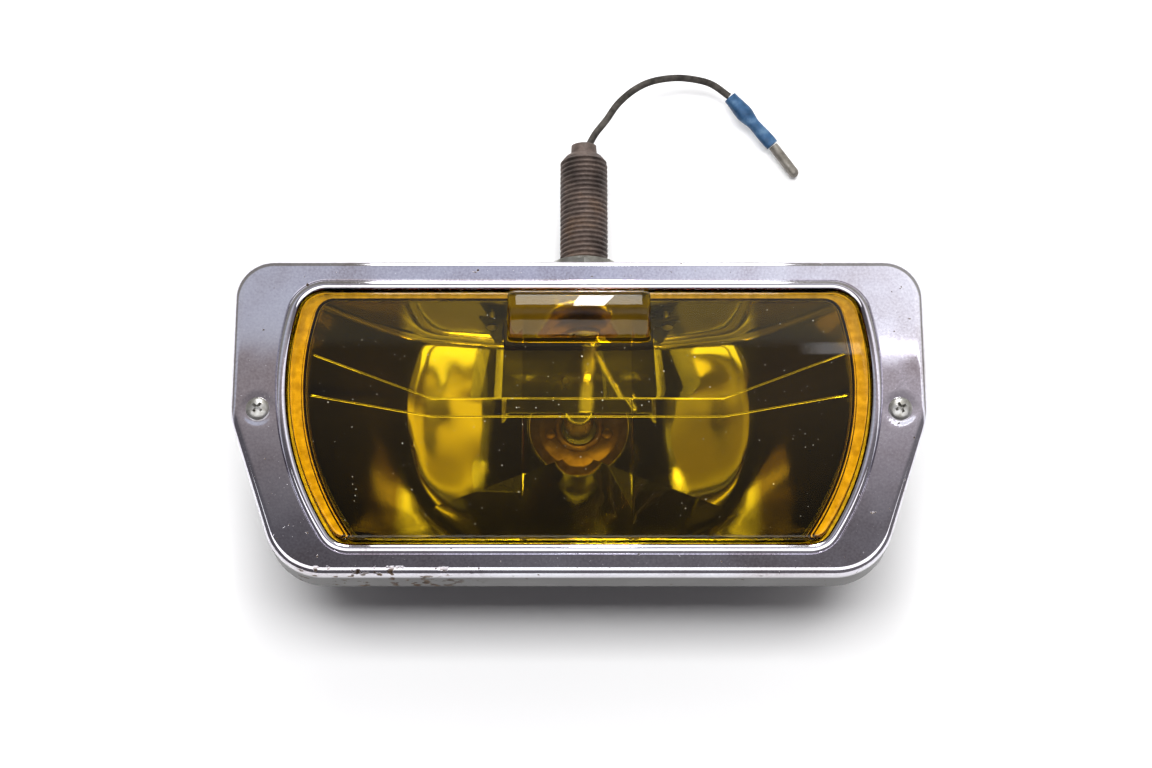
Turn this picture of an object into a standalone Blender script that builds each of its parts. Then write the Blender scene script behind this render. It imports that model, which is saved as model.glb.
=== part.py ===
"""A rectangular fog light with a yellow lens, a chromed bezel and a hollow swivelling stud.

The lamp lies on its back: +Z leaves the lens, +Y follows the stud, +X is the width.
The origin is the middle of the housing's flat back. Lengths are metres.
"""

import math

import bmesh
import bpy
from mathutils import Vector

MM = 0.001
GAP = 0.3 * MM
OBJECT_NAME = "fog_light"

# Bezel: the pressed, chromed frame that sets the lamp's width and height.
BEZEL_HALF_WIDTH = 80.0 * MM
BEZEL_TOP_HALF_WIDTH = 79.0 * MM
BEZEL_FOOT_HALF_WIDTH = 67.6 * MM
BEZEL_HALF_HEIGHT = 37.5 * MM
BEZEL_TOP_CORNER = 9.0 * MM
BEZEL_WAIST_CORNER = 16.0 * MM
BEZEL_FOOT_CORNER = 14.0 * MM
BEZEL_FRONT_Z = 56.0 * MM
BEZEL_SKIRT_DEPTH = 12.0 * MM
BEZEL_SHEET = 0.8 * MM
BEZEL_EDGE = 1.6 * MM
LIP_DEPTH = 2.8 * MM

# Optical axis: the reflector, the bulb and the round sides of the lens share it.
AXIS_Y = 8.3 * MM
OPENING_RADIUS = 66.9 * MM
OPENING_TOP = 29.9 * MM
OPENING_BOTTOM = -30.2 * MM
OPENING_TOP_CORNER = 6.5 * MM
OPENING_FOOT_CORNER = 5.5 * MM

# Lens: a tray of pressed yellow glass with a clamping flange and a raised bar.
LENS_FRONT_Z = 57.0 * MM
LENS_EDGE = 0.9 * MM
LENS_FLANGE_Z = (50.0 * MM, 52.0 * MM)
LENS_FLANGE_WIDTH = 1.5 * MM
LENS_FRONT_THICKNESS = 4.5 * MM
LENS_WALL = 3.0 * MM
LENS_BAR_LENGTH = 33.0 * MM
LENS_BAR_Y = 23.2 * MM
LENS_BAR_HALF_WIDTH = 6.3 * MM
LENS_BAR_HEIGHT = 2.6 * MM
GASKET_GROW = (1.2 * MM, -1.4 * MM)
CLIP_X, CLIP_HALF_WIDTH = 36.0 * MM, 4.0 * MM

# Reflector: a bowl cut off by a flat roof and a flat floor. Its middle is shallow, more along X
# than along Y, and it is steep outside the step radius.
APEX_Z = 16.5 * MM
RIM_Z = 48.8 * MM
BOWL_RIM_RADIUS = 64.4 * MM
BOWL_STEP_RADIUS = 42.0 * MM
BOWL_HOLE_RADIUS = 11.9 * MM
BOWL_FOCUS_X = 75.0 * MM
BOWL_FOCUS_Y = 28.0 * MM
BOWL_ROOF_Y = 29.4 * MM
BOWL_FLOOR_Y = -28.6 * MM
BOWL_ROOF_DRAFT = 2.0 * MM
BOWL_FLOOR_DRAFT = 0.9 * MM
BOWL_CORNER = 3.0 * MM
BOWL_FLANGE = 1.3 * MM
BOWL_SHEET = 0.9 * MM
BOWL_ROWS = 12

# Housing: the tapered steel bucket behind the bezel.
HOUSING_RIM_Z = 51.6 * MM
HOUSING_SHEET = 1.0 * MM
HOUSING_TOP_Y = 35.2 * MM
HOUSING_BACK_EDGE = ((4.6 * MM, 0.0), (1.4 * MM, 1.3 * MM))
HOUSING_ROWS = ((4.5 * MM, 0.0), (20.0 * MM, 0.5), (36.0 * MM, 0.95), (HOUSING_RIM_Z, 1.0))
SEAL_WIDTH = 1.9 * MM
SEAL_TOP_Z = 54.8 * MM

# Bulb and its holder.
HOLDER_RADIUS = 14.0 * MM
HOLDER_Z = (14.5 * MM, 15.3 * MM)
HOLDER_HOLE = 4.0 * MM
HOLDER_RIVET_X = 6.9 * MM
HOLDER_RIVET_DROP = 1.6 * MM
BULB_RADIUS = 3.6 * MM
BULB_TIP_Z = 33.0 * MM
BULB_WALL = 0.8 * MM
BULB_FLANGE_Z = (13.0 * MM, 14.2 * MM)
BULB_NECK_RADIUS = 3.9 * MM
BULB_NECK_Z = 8.0 * MM

# Hood: the folded plate that shades the upper half of the bulb.
HOOD_HALF_WIDTH = 17.0 * MM
HOOD_Z = 40.5 * MM
HOOD_LOW_Y = 4.6 * MM
HOOD_HIGH_Y = 26.9 * MM
HOOD_SHEET = 0.8 * MM
HOOD_RIVET_X = 20.6 * MM
HOOD_RIVET_Z = 38.0 * MM
HOOD_RIVET_ROOF_Y = 29.0 * MM
HOOD_FOOT_Z, HOOD_DEEP_Z = 32.0 * MM, 25.0 * MM
HOOD_EAR_X, HOOD_EAR_RISE = 24.5 * MM, 3.0 * MM
RIVET_HOLE_RADIUS = 1.1 * MM

# Bulb clip: a wire that swings about a bar behind the holder.
CLIP_WIRE = 0.6 * MM
CLIP_PIVOT = Vector((-12.6 * MM, AXIS_Y, 12.2 * MM))
CLIP_REACH = 23.0 * MM
CLIP_HALF_SPAN = 5.0 * MM

# Screws that hold the bezel to the housing.
SCREW_X = 73.5 * MM
SCREW_Y = 1.2 * MM
SCREW_HEAD_RADIUS = 2.75 * MM
SCREW_SHANK_RADIUS = 1.45 * MM
SCREW_TIP_Z = 38.0 * MM
BRACKET_Z = 43.0 * MM
BRACKET_X = (69.5 * MM, 75.8 * MM)
BRACKET_DROP = 7.0 * MM
BRACKET_SHEET = 0.9 * MM

# Swivel: a ball on the stud inside nested spherical shells.
STUD_X = 1.3 * MM
STUD_Z = 16.0 * MM
BALL_Y = 38.5 * MM
BALL_RADIUS = 8.0 * MM
SOCKET_RADII = (8.3 * MM, 9.1 * MM)
DOME_RADII = (9.4 * MM, 10.2 * MM)
CUP_RADII = (10.5 * MM, 11.1 * MM)
NUT_SEAT_RADIUS = 11.4 * MM
NUT_ACROSS_FLATS = 17.0 * MM
NUT_TOP_Y = 50.4 * MM

# Stud: a hollow M12 x 1.25 thread with a reduced end.
THREAD_RADIUS = 5.9 * MM
THREAD_PITCH = 1.25 * MM
THREAD_DEPTH = 0.65 * MM
THREAD_END_Y = 79.8 * MM
STUD_END_Y = 82.9 * MM
STUD_NECK_RADIUS = 3.6 * MM
STUD_BORE_RADIUS = 2.6 * MM

# The joint between the bulb's lead and the supply lead, inside the housing.
JOINT_X = -26.0 * MM
LEAD_RADIUS = 0.8 * MM

# Supply wire, from the mouth of the stud to the connector that lies on the table.
WIRE_RADIUS = 0.9 * MM
WIRE_MOUTH_X = 1.2 * MM
WIRE_ROUTE_MM = (
    (2.5, 83.2, 16.0),
    (4.3, 86.6, 16.0),
    (7.0, 90.4, 15.6),
    (10.0, 95.2, 14.9),
    (14.1, 99.5, 13.8),
    (18.8, 102.5, 12.5),
    (24.8, 104.2, 10.9),
    (30.1, 104.4, 9.4),
    (34.5, 103.6, 8.1),
    (38.9, 100.9, 6.7),
)
SLEEVE_END_MM = (50.0, 88.6, 3.7)
PIN_END_MM = (56.2, 80.6, 1.9)
# (radius in millimetres, share of the length) down the crimped sleeve, from its far end.
SLEEVE_PROFILE = (
    (1.6, 1.0),
    (1.9, 0.84),
    (1.65, 0.72),
    (2.1, 0.62),
    (2.1, 0.46),
    (1.7, 0.36),
    (2.2, 0.24),
    (2.0, 0.06),
)
SLEEVE_MOUTH_RADIUS = 1.3 * MM
PIN_RADIUS = 1.3 * MM

ROUND_STEPS = 32
TOP_STEPS, CORNER_STEPS, SIDE_STEPS = 8, 5, 8


def clear_scene():
    for old in list(bpy.data.objects):
        bpy.data.objects.remove(old, do_unlink=True)


def new_collection(name):
    collection = bpy.data.collections.new(name)
    bpy.context.scene.collection.children.link(collection)
    return collection


def material(name, colour, metallic=0.0, roughness=0.5, transmission=0.0):
    made = bpy.data.materials.new(name)
    made.use_nodes = True
    made.diffuse_color = (*colour, 1.0)
    shader = made.node_tree.nodes["Principled BSDF"]
    shader.inputs["Base Color"].default_value = (*colour, 1.0)
    shader.inputs["Metallic"].default_value = metallic
    shader.inputs["Roughness"].default_value = roughness
    shader.inputs["Transmission Weight"].default_value = transmission
    return made


def add_object(name, data, look):
    made = bpy.data.objects.new(name, data)
    PARTS.objects.link(made)
    made.data.materials.append(look)
    return made


def mesh_object(name, bm, look, smooth_angle=35.0):
    mesh = bpy.data.meshes.new(name)
    bm.to_mesh(mesh)
    bm.free()
    mesh.shade_smooth()
    mesh.set_sharp_from_angle(angle=math.radians(smooth_angle))
    return add_object(name, mesh, look)


def solidify(obj, thickness):
    """Thickens an open sheet on the side that its faces point away from."""
    shell = obj.modifiers.new("sheet", "SOLIDIFY")
    shell.thickness = thickness
    shell.offset = -1.0
    shell.use_even_offset = True


def loft(name, rows, look, cap_first=False, cap_last=False, close=False):
    """Joins rings of equal count. Rings run clockwise seen from +Z, so faces point out and up."""
    bm = bmesh.new()
    rings = [[bm.verts.new(point) for point in row] for row in rows]
    pairs = list(zip(rings, rings[1:]))
    if close:
        pairs.append((rings[-1], rings[0]))
    count = len(rings[0])
    for lower, upper in pairs:
        for i in range(count):
            j = (i + 1) % count
            bm.faces.new((lower[i], upper[i], upper[j], lower[j]))
    if cap_first:
        bm.faces.new(rings[0])
    if cap_last:
        bm.faces.new(tuple(reversed(rings[-1])))
    if close or (cap_first and cap_last):
        bmesh.ops.recalc_face_normals(bm, faces=bm.faces)
    return mesh_object(name, bm, look)


def turned(name, profile, look, place, along_y=False, steps=ROUND_STEPS):
    """A turned solid. The profile is (radius, height) pairs, down the outer side."""
    bm = bmesh.new()
    verts = [bm.verts.new((radius, 0.0, height)) for radius, height in profile]
    edges = list(zip(verts, verts[1:]))
    if profile[0][0] > 0.0 and profile[-1][0] > 0.0:
        edges.append((verts[-1], verts[0]))
    for edge in edges:
        bm.edges.new(edge)
    obj = mesh_object(name, bm, look)
    screw = obj.modifiers.new("turn", "SCREW")
    screw.steps = screw.render_steps = steps
    screw.use_merge_vertices = True
    screw.merge_threshold = 0.01 * MM
    screw.use_smooth_shade = True
    obj.location = place
    if along_y:
        obj.rotation_euler = (-math.pi / 2, 0.0, 0.0)
    return obj


def tube(name, points, radius, look):
    curve = bpy.data.curves.new(name, "CURVE")
    curve.dimensions = "3D"
    curve.bevel_depth = radius
    curve.bevel_resolution = 2
    curve.use_fill_caps = True
    spline = curve.splines.new("POLY")
    spline.points.add(len(points) - 1)
    for control, point in zip(spline.points, points):
        control.co = (*point, 1.0)
    return add_object(name, curve, look)


def smooth_path(points, pieces):
    """Points on a Catmull-Rom curve through a route."""
    route = [Vector(p) for p in points]
    route = [route[0] * 2 - route[1], *route, route[-1] * 2 - route[-2]]
    found = []
    for a, b, c, d in zip(route, route[1:], route[2:], route[3:]):
        for k in range(pieces):
            t = k / pieces
            found.append(
                0.5 * (2 * b + (c - a) * t + (2 * a - 5 * b + 4 * c - d) * t**2
                       + (3 * b - a - 3 * c + d) * t**3)
            )
    return [*found, route[-2]]


def combine(obj, bm, operation="DIFFERENCE"):
    """Cuts or joins with a hidden helper made from bm, and returns the helper."""
    mesh = bpy.data.meshes.new(obj.name + "_helper")
    bm.to_mesh(mesh)
    bm.free()
    helper = bpy.data.objects.new(obj.name + "_helper", mesh)
    HELPERS.objects.link(helper)
    helper.hide_render = True
    helper.display_type = "WIRE"
    boolean = obj.modifiers.new("combine", "BOOLEAN")
    boolean.operation = operation
    boolean.object = helper
    return helper


def drill(obj, place, radius, depth, direction=(0.0, 0.0, 1.0)):
    """Cuts a round hole, with its middle at place."""
    bm = bmesh.new()
    bmesh.ops.create_cone(
        bm, cap_ends=True, segments=24, radius1=radius, radius2=radius, depth=depth
    )
    cutter = combine(obj, bm)
    cutter.location = place
    cutter.rotation_euler = Vector(direction).to_track_quat("Z", "Y").to_euler()


def arc(centre, radius, start, end, steps):
    """Points round a centre, without the last one. Angles are radians."""
    return [
        (
            centre[0] + radius * math.cos(start + (end - start) * k / steps),
            centre[1] + radius * math.sin(start + (end - start) * k / steps),
        )
        for k in range(steps)
    ]


def line(start, end, steps):
    return [
        (
            start[0] + (end[0] - start[0]) * k / steps,
            start[1] + (end[1] - start[1]) * k / steps,
        )
        for k in range(steps)
    ]


def mirrored(right_half):
    """A whole ring from its right half, which runs from the top middle to the bottom middle."""
    left = [(-x, y) for x, y in reversed(right_half[1:-1])]
    return right_half + left


def round_sided(radius, top, bottom, top_corner, foot_corner, axis_y=AXIS_Y):
    """A circle cut off by a flat top and bottom, with rounded corners."""
    ends = []
    for edge, corner in ((top - top_corner, top_corner), (bottom + foot_corner, foot_corner)):
        rise = edge - axis_y
        ends.append((math.sqrt((radius - corner) ** 2 - rise**2), edge, rise))
    (top_x, top_y, top_rise), (foot_x, foot_y, foot_rise) = ends
    top_angle = math.atan2(top_rise, top_x)
    foot_angle = math.atan2(foot_rise, foot_x)
    quarter = math.pi / 2
    half = line((0.0, top), (top_x, top), TOP_STEPS)
    half += arc((top_x, top_y), top_corner, quarter, top_angle, CORNER_STEPS)
    half += arc((0.0, axis_y), radius, top_angle, foot_angle, SIDE_STEPS)
    half += arc((foot_x, foot_y), foot_corner, foot_angle, -quarter, CORNER_STEPS)
    half += line((foot_x, bottom), (0.0, bottom), TOP_STEPS)
    return mirrored(half + [(0.0, bottom)])


def fillet(before, corner, after, radius):
    """(centre, start angle, end angle, first point, last point) of a clockwise corner."""
    b, c, a = Vector(before), Vector(corner), Vector(after)
    into, out = (b - c).normalized(), (a - c).normalized()
    half = into.angle(out) / 2
    first = c + into * radius / math.tan(half)
    last = c + out * radius / math.tan(half)
    centre = c + (into + out).normalized() * radius / math.sin(half)
    start = math.atan2(first.y - centre.y, first.x - centre.x)
    end = math.atan2(last.y - centre.y, last.x - centre.x)
    return centre, start, end, first, last


def kite_sided(top_half, half, foot_half, top, bottom, corners):
    """The bezel's six-sided outline with rounded corners."""
    waist = (half, -0.5 * MM)
    shoulder, foot = (top_half, top), (foot_half, bottom)
    s = fillet((0.0, top), shoulder, waist, corners[0])
    w = fillet(shoulder, waist, foot, corners[1])
    f = fillet(waist, foot, (0.0, bottom), corners[2])
    quarter_side = SIDE_STEPS // 4
    right = line((0.0, top), s[3], TOP_STEPS)
    right += arc(s[0], corners[0], s[1], s[2], CORNER_STEPS)
    right += line(s[4], w[3], quarter_side)
    right += arc(w[0], corners[1], w[1], w[2], SIDE_STEPS - 2 * quarter_side)
    right += line(w[4], f[3], quarter_side)
    right += arc(f[0], corners[2], f[1], f[2], CORNER_STEPS)
    right += line(f[4], (0.0, bottom), TOP_STEPS)
    return mirrored(right + [(0.0, bottom)])


def bezel_outline(inset=0.0):
    return kite_sided(
        BEZEL_TOP_HALF_WIDTH - inset,
        BEZEL_HALF_WIDTH - inset,
        BEZEL_FOOT_HALF_WIDTH - inset * 0.75,
        BEZEL_HALF_HEIGHT - inset,
        -BEZEL_HALF_HEIGHT + inset,
        (BEZEL_TOP_CORNER - inset, BEZEL_WAIST_CORNER, BEZEL_FOOT_CORNER - inset),
    )


def opening_outline(grow=0.0):
    return round_sided(
        OPENING_RADIUS + grow,
        OPENING_TOP + grow,
        OPENING_BOTTOM - grow,
        OPENING_TOP_CORNER + grow,
        OPENING_FOOT_CORNER + grow,
    )


def at_height(outline, z):
    return [(x, y, z) for x, y in outline]


def bezel():
    front = BEZEL_FRONT_Z
    rows = [
        at_height(bezel_outline(), front - BEZEL_SKIRT_DEPTH),
        at_height(bezel_outline(), front - 1.5 * BEZEL_EDGE),
        at_height(bezel_outline(0.3 * BEZEL_EDGE), front - 0.45 * BEZEL_EDGE),
        at_height(bezel_outline(BEZEL_EDGE), front),
        at_height(opening_outline(2.4 * MM), front),
        at_height(opening_outline(1.1 * MM), front - 0.3 * MM),
        at_height(opening_outline(0.2 * MM), front - 1.2 * MM),
        at_height(opening_outline(), front - LIP_DEPTH),
    ]
    frame = loft("bezel", rows, CHROME)
    solidify(frame, BEZEL_SHEET)
    for side in (-1, 1):
        drill(frame, (side * SCREW_X, SCREW_Y, front), SCREW_SHANK_RADIUS + GAP, 4 * MM)


def lens():
    low, high = LENS_FLANGE_Z
    flange = LENS_FLANGE_WIDTH
    ceiling = LENS_FRONT_Z - LENS_FRONT_THICKNESS
    body, cavity = -0.4 * MM, -LENS_WALL
    rows = [
        at_height(opening_outline(cavity - 0.6 * MM), ceiling),
        at_height(opening_outline(cavity), low),
        at_height(opening_outline(flange), low),
        at_height(opening_outline(flange), high),
        at_height(opening_outline(body), high + 0.2 * MM),
        at_height(opening_outline(body), LENS_FRONT_Z - LENS_EDGE),
        at_height(opening_outline(body - 0.3 * LENS_EDGE), LENS_FRONT_Z - 0.3 * LENS_EDGE),
        at_height(opening_outline(body - LENS_EDGE), LENS_FRONT_Z),
    ]
    glass = loft("lens", rows, YELLOW_GLASS, cap_first=True, cap_last=True)
    bm = bmesh.new()
    bmesh.ops.create_cone(bm, cap_ends=True, segments=24, radius1=1.0, radius2=1.0, depth=1.0)
    along_x = Vector((1, 0, 0)).to_track_quat("Z", "Y").to_matrix()
    bmesh.ops.rotate(bm, verts=bm.verts, matrix=along_x)
    size = (LENS_BAR_LENGTH, LENS_BAR_HALF_WIDTH, LENS_BAR_HEIGHT)
    bmesh.ops.scale(bm, verts=bm.verts, vec=size)
    bmesh.ops.translate(bm, verts=bm.verts, vec=(0.0, LENS_BAR_Y, LENS_FRONT_Z))
    combine(glass, bm, "UNION")


def flat_ring(name, outer, inner, low, high, look):
    rows = ((inner, low), (outer, low), (outer, high), (inner, high))
    loft(name, [at_height(outline, z) for outline, z in rows], look, close=True)


def bowl_reach(upward, radius, share):
    """Distance from the axis to the bowl's wall in a direction, where upward is its part along Y."""
    if upward > 0:
        wall = BOWL_ROOF_Y - AXIS_Y - BOWL_ROOF_DRAFT * (1.0 - share)
    else:
        wall = AXIS_Y - BOWL_FLOOR_Y - BOWL_FLOOR_DRAFT * (1.0 - share)
    wall /= max(abs(upward), 1e-6)
    sharpness = 20.0
    return (radius**-sharpness + wall**-sharpness) ** (-1.0 / sharpness)


def bowl_height(across, upward, radius):
    """Height of the bowl at a radius in the direction (across, upward)."""
    bend = across**2 / (4 * BOWL_FOCUS_X) + upward**2 / (4 * BOWL_FOCUS_Y)
    middle = (min(radius, BOWL_STEP_RADIUS) ** 2 - BOWL_HOLE_RADIUS**2) * bend
    outer = RIM_Z - APEX_Z - (BOWL_STEP_RADIUS**2 - BOWL_HOLE_RADIUS**2) * bend
    share = max(radius - BOWL_STEP_RADIUS, 0.0) / (BOWL_RIM_RADIUS - BOWL_STEP_RADIUS)
    return APEX_Z + middle + outer * share * (0.82 + 0.18 * share)


def bowl_ring(rim, share):
    """A ring of the bowl: share 1 is the rim and 0 the edge of the bulb's hole."""
    radius = BOWL_HOLE_RADIUS + (BOWL_RIM_RADIUS - BOWL_HOLE_RADIUS) * share
    ring = []
    for x, y in rim:
        away = math.hypot(x, y - AXIS_Y)
        across, upward = x / away, (y - AXIS_Y) / away
        reach = bowl_reach(upward, radius, share)
        height = bowl_height(across, upward, radius)
        ring.append((across * reach, AXIS_Y + upward * reach, height))
    return ring


def reflector():
    rim = round_sided(BOWL_RIM_RADIUS, BOWL_ROOF_Y, BOWL_FLOOR_Y, BOWL_CORNER, BOWL_CORNER)
    rows = [at_height(opening_outline(BOWL_FLANGE), RIM_Z)]
    rows += [bowl_ring(rim, 1.0 - k / BOWL_ROWS) for k in range(BOWL_ROWS + 1)]
    bowl = loft("reflector", rows, BRIGHT_METAL)
    solidify(bowl, BOWL_SHEET)
    for side in (-1, 1):
        place = (side * HOOD_RIVET_X, BOWL_ROOF_Y, HOOD_RIVET_Z)
        drill(bowl, place, RIVET_HOLE_RADIUS, 5 * MM, (0.0, 1.0, 0.0))


def housing_outline(share):
    """The bucket's outline: share 1 is the rim and 0 the back. The top stays upright."""
    return kite_sided(
        (65.0 + 12.3 * share) * MM,
        (65.0 + 13.3 * share) * MM,
        (55.0 + 11.3 * share) * MM,
        HOUSING_TOP_Y,
        -(23.0 + 12.6 * share) * MM,
        (7.5 * MM, BEZEL_WAIST_CORNER, 11.0 * MM),
    )


def shrunk(outline, amount):
    """Pulls an outline towards its middle line, for a rounded back edge."""
    xs = [abs(x) for x, _ in outline]
    ys = [y for _, y in outline]
    middle = (max(ys) + min(ys)) / 2
    wide, tall = max(xs), (max(ys) - min(ys)) / 2
    return [
        (x * (1 - amount / wide), middle + (y - middle) * (1 - amount / tall))
        for x, y in outline
    ]


def housing():
    back = housing_outline(0.0)
    rows = [at_height(shrunk(back, inset), z) for inset, z in HOUSING_BACK_EDGE]
    rows += [at_height(housing_outline(share), z) for z, share in HOUSING_ROWS]
    bucket = loft("housing_shell", rows, BLACK_PAINT, cap_first=True)
    solidify(bucket, HOUSING_SHEET)
    drill(bucket, (STUD_X, HOUSING_TOP_Y, STUD_Z), BALL_RADIUS, 6 * MM, (0.0, 1.0, 0.0))
    outer, inner = housing_outline(1.0), shrunk(housing_outline(1.0), SEAL_WIDTH)
    flat_ring("housing_seal", outer, inner, HOUSING_RIM_Z + GAP, SEAL_TOP_Z, RUBBER)


def spherical_shell(name, radii, from_deg, to_deg, look):
    """A zone of a hollow sphere round the ball's centre, open for the stud."""
    steps = 6
    angles = [math.radians(from_deg + (to_deg - from_deg) * k / steps) for k in range(steps + 1)]
    inner, outer = radii
    profile = [(outer * math.sin(a), outer * math.cos(a)) for a in angles]
    profile += [(inner * math.sin(a), inner * math.cos(a)) for a in reversed(angles)]
    turned(name, profile, look, (STUD_X, BALL_Y, STUD_Z), along_y=True)


def swivel():
    """Gasket, socket and the two washers between the housing and the stud's ball."""
    centre = (STUD_X, BALL_Y, STUD_Z)
    seat = HOUSING_TOP_Y - BALL_Y
    gasket = ((11.0 * MM, seat + 1.3 * MM), (11.0 * MM, seat + GAP))
    gasket += ((8.5 * MM, seat + GAP), (8.5 * MM, seat + 1.3 * MM))
    turned("swivel_gasket", gasket, RUBBER, centre, along_y=True)
    inner, outer = SOCKET_RADII
    angles = [math.radians(60 + 6 * k) for k in range(6)]
    profile = [(outer * math.sin(a), outer * math.cos(a)) for a in angles]
    base = seat + 1.6 * MM
    profile += [(11.0 * MM, base + 0.9 * MM), (11.0 * MM, base), (inner, base), (inner, 0.0)]
    profile += [(inner * math.sin(a), inner * math.cos(a)) for a in reversed(angles)]
    turned("stud_socket", profile, ZINC, centre, along_y=True)
    spherical_shell("dome_washer", DOME_RADII, 48, 72, ZINC)
    spherical_shell("cup_spring", CUP_RADII, 35, 58, SPRING_STEEL)


def stud():
    ball_top = math.sqrt(BALL_RADIUS**2 - THREAD_RADIUS**2)
    end, thread_end = STUD_END_Y - BALL_Y, THREAD_END_Y - BALL_Y
    profile = [(STUD_NECK_RADIUS, end), (STUD_NECK_RADIUS, thread_end)]
    profile += [(THREAD_RADIUS - THREAD_DEPTH, thread_end), (THREAD_RADIUS, thread_end - 0.8 * MM)]
    count = int((thread_end - 2 * MM - (NUT_TOP_Y - BALL_Y)) / THREAD_PITCH)
    for k in range(count):
        height = thread_end - 1.2 * MM - k * THREAD_PITCH
        profile.append((THREAD_RADIUS - THREAD_DEPTH, height))
        profile.append((THREAD_RADIUS, height - THREAD_PITCH / 2))
    profile.append((THREAD_RADIUS, ball_top))
    steps = 8
    top_angle = math.asin(THREAD_RADIUS / BALL_RADIUS)
    low_angle = math.pi - math.asin(STUD_BORE_RADIUS / BALL_RADIUS)
    for k in range(1, steps + 1):
        a = top_angle + (low_angle - top_angle) * k / steps
        profile.append((BALL_RADIUS * math.sin(a), BALL_RADIUS * math.cos(a)))
    profile.append((STUD_BORE_RADIUS, end))
    place = (STUD_X, BALL_Y, STUD_Z)
    turned("mounting_stud", profile, OLD_STEEL, place, along_y=True, steps=24)


def lock_nut():
    """A thin hexagon nut whose lower face is hollowed to sit on the cup spring."""
    height = NUT_TOP_Y - BALL_Y
    bm = bmesh.new()
    radius = NUT_ACROSS_FLATS / math.sqrt(3)
    bmesh.ops.create_cone(
        bm, cap_ends=True, segments=6, radius1=radius, radius2=radius, depth=height - 6.8 * MM
    )
    bmesh.ops.translate(bm, verts=bm.verts, vec=(0, 0, (height + 6.8 * MM) / 2))
    nut = mesh_object("lock_nut", bm, ZINC)
    nut.location = (STUD_X, BALL_Y, STUD_Z)
    nut.rotation_euler = (-math.pi / 2, 0.0, 0.0)
    drill(nut, (STUD_X, NUT_TOP_Y, STUD_Z), THREAD_RADIUS + GAP, 14 * MM, (0.0, 1.0, 0.0))
    bm = bmesh.new()
    bmesh.ops.create_uvsphere(bm, u_segments=32, v_segments=20, radius=NUT_SEAT_RADIUS)
    seat = combine(nut, bm)
    seat.location = nut.location


def rivet(name, place, grip, look, along_y=False):
    """A rivet with a domed head on each side of a sheet that is grip thick, centred at place."""
    head, shank, rise = 1.4 * MM, 0.75 * MM, 0.7 * MM
    top = grip / 2 + GAP
    profile = [(0.0, top + rise), (0.7 * head, top + 0.7 * rise), (head, top), (shank, top)]
    profile += [(r, -z) for r, z in reversed(profile)]
    turned(name, profile, look, place, along_y=along_y, steps=16)


def bulb():
    low, high = HOLDER_Z
    axis = (0.0, AXIS_Y, 0.0)
    plate = ((HOLDER_RADIUS, high), (HOLDER_RADIUS, low), (HOLDER_HOLE, low), (HOLDER_HOLE, high))
    holder = turned("bulb_holder", plate, COPPER_STEEL, axis)
    rivet_y = AXIS_Y - HOLDER_RIVET_DROP
    for side, word in ((-1, "left"), (1, "right")):
        place = (side * HOLDER_RIVET_X, rivet_y, (low + high) / 2)
        drill(holder, place, RIVET_HOLE_RADIUS, 3 * MM)
        rivet(f"holder_rivet_{word}", place, high - low, COPPER_STEEL)
    base_low, base_high = BULB_FLANGE_Z
    flange = 5.2 * MM
    base = ((0.0, base_high), (flange, base_high), (flange, base_low), (BULB_NECK_RADIUS, base_low))
    base += ((BULB_NECK_RADIUS, BULB_NECK_Z), (0.0, BULB_NECK_Z))
    turned("bulb_base", base, BRIGHT_METAL, axis, steps=24)
    foot = base_high + GAP
    shoulder = BULB_TIP_Z - BULB_RADIUS
    outer = [(0.0, BULB_TIP_Z)]
    outer += [
        (BULB_RADIUS * math.sin(a), shoulder + BULB_RADIUS * math.cos(a))
        for a in (math.radians(v) for v in (30, 60, 90))
    ]
    inside = BULB_RADIUS - BULB_WALL
    outer += [(BULB_RADIUS, foot), (inside, foot)]
    outer += [
        (inside * math.sin(a), shoulder + inside * math.cos(a))
        for a in (math.radians(v) for v in (90, 60, 30))
    ]
    outer += [(0.0, shoulder + inside)]
    turned("bulb_glass", outer, CLEAR_GLASS, axis, steps=24)
    step = 1.5 * MM
    coil = [(-step, AXIS_Y, foot + GAP), (-step, AXIS_Y, 26 * MM)]
    coil += [(-step / 2, AXIS_Y - step / 2, 26.4 * MM), (0.0, AXIS_Y, 26.8 * MM)]
    coil += [(step / 2, AXIS_Y + step / 2, 26.4 * MM), (step, AXIS_Y, 26 * MM)]
    coil += [(step, AXIS_Y, foot + GAP)]
    tube("bulb_filament", coil, 0.25 * MM, SPRING_STEEL)


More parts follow.
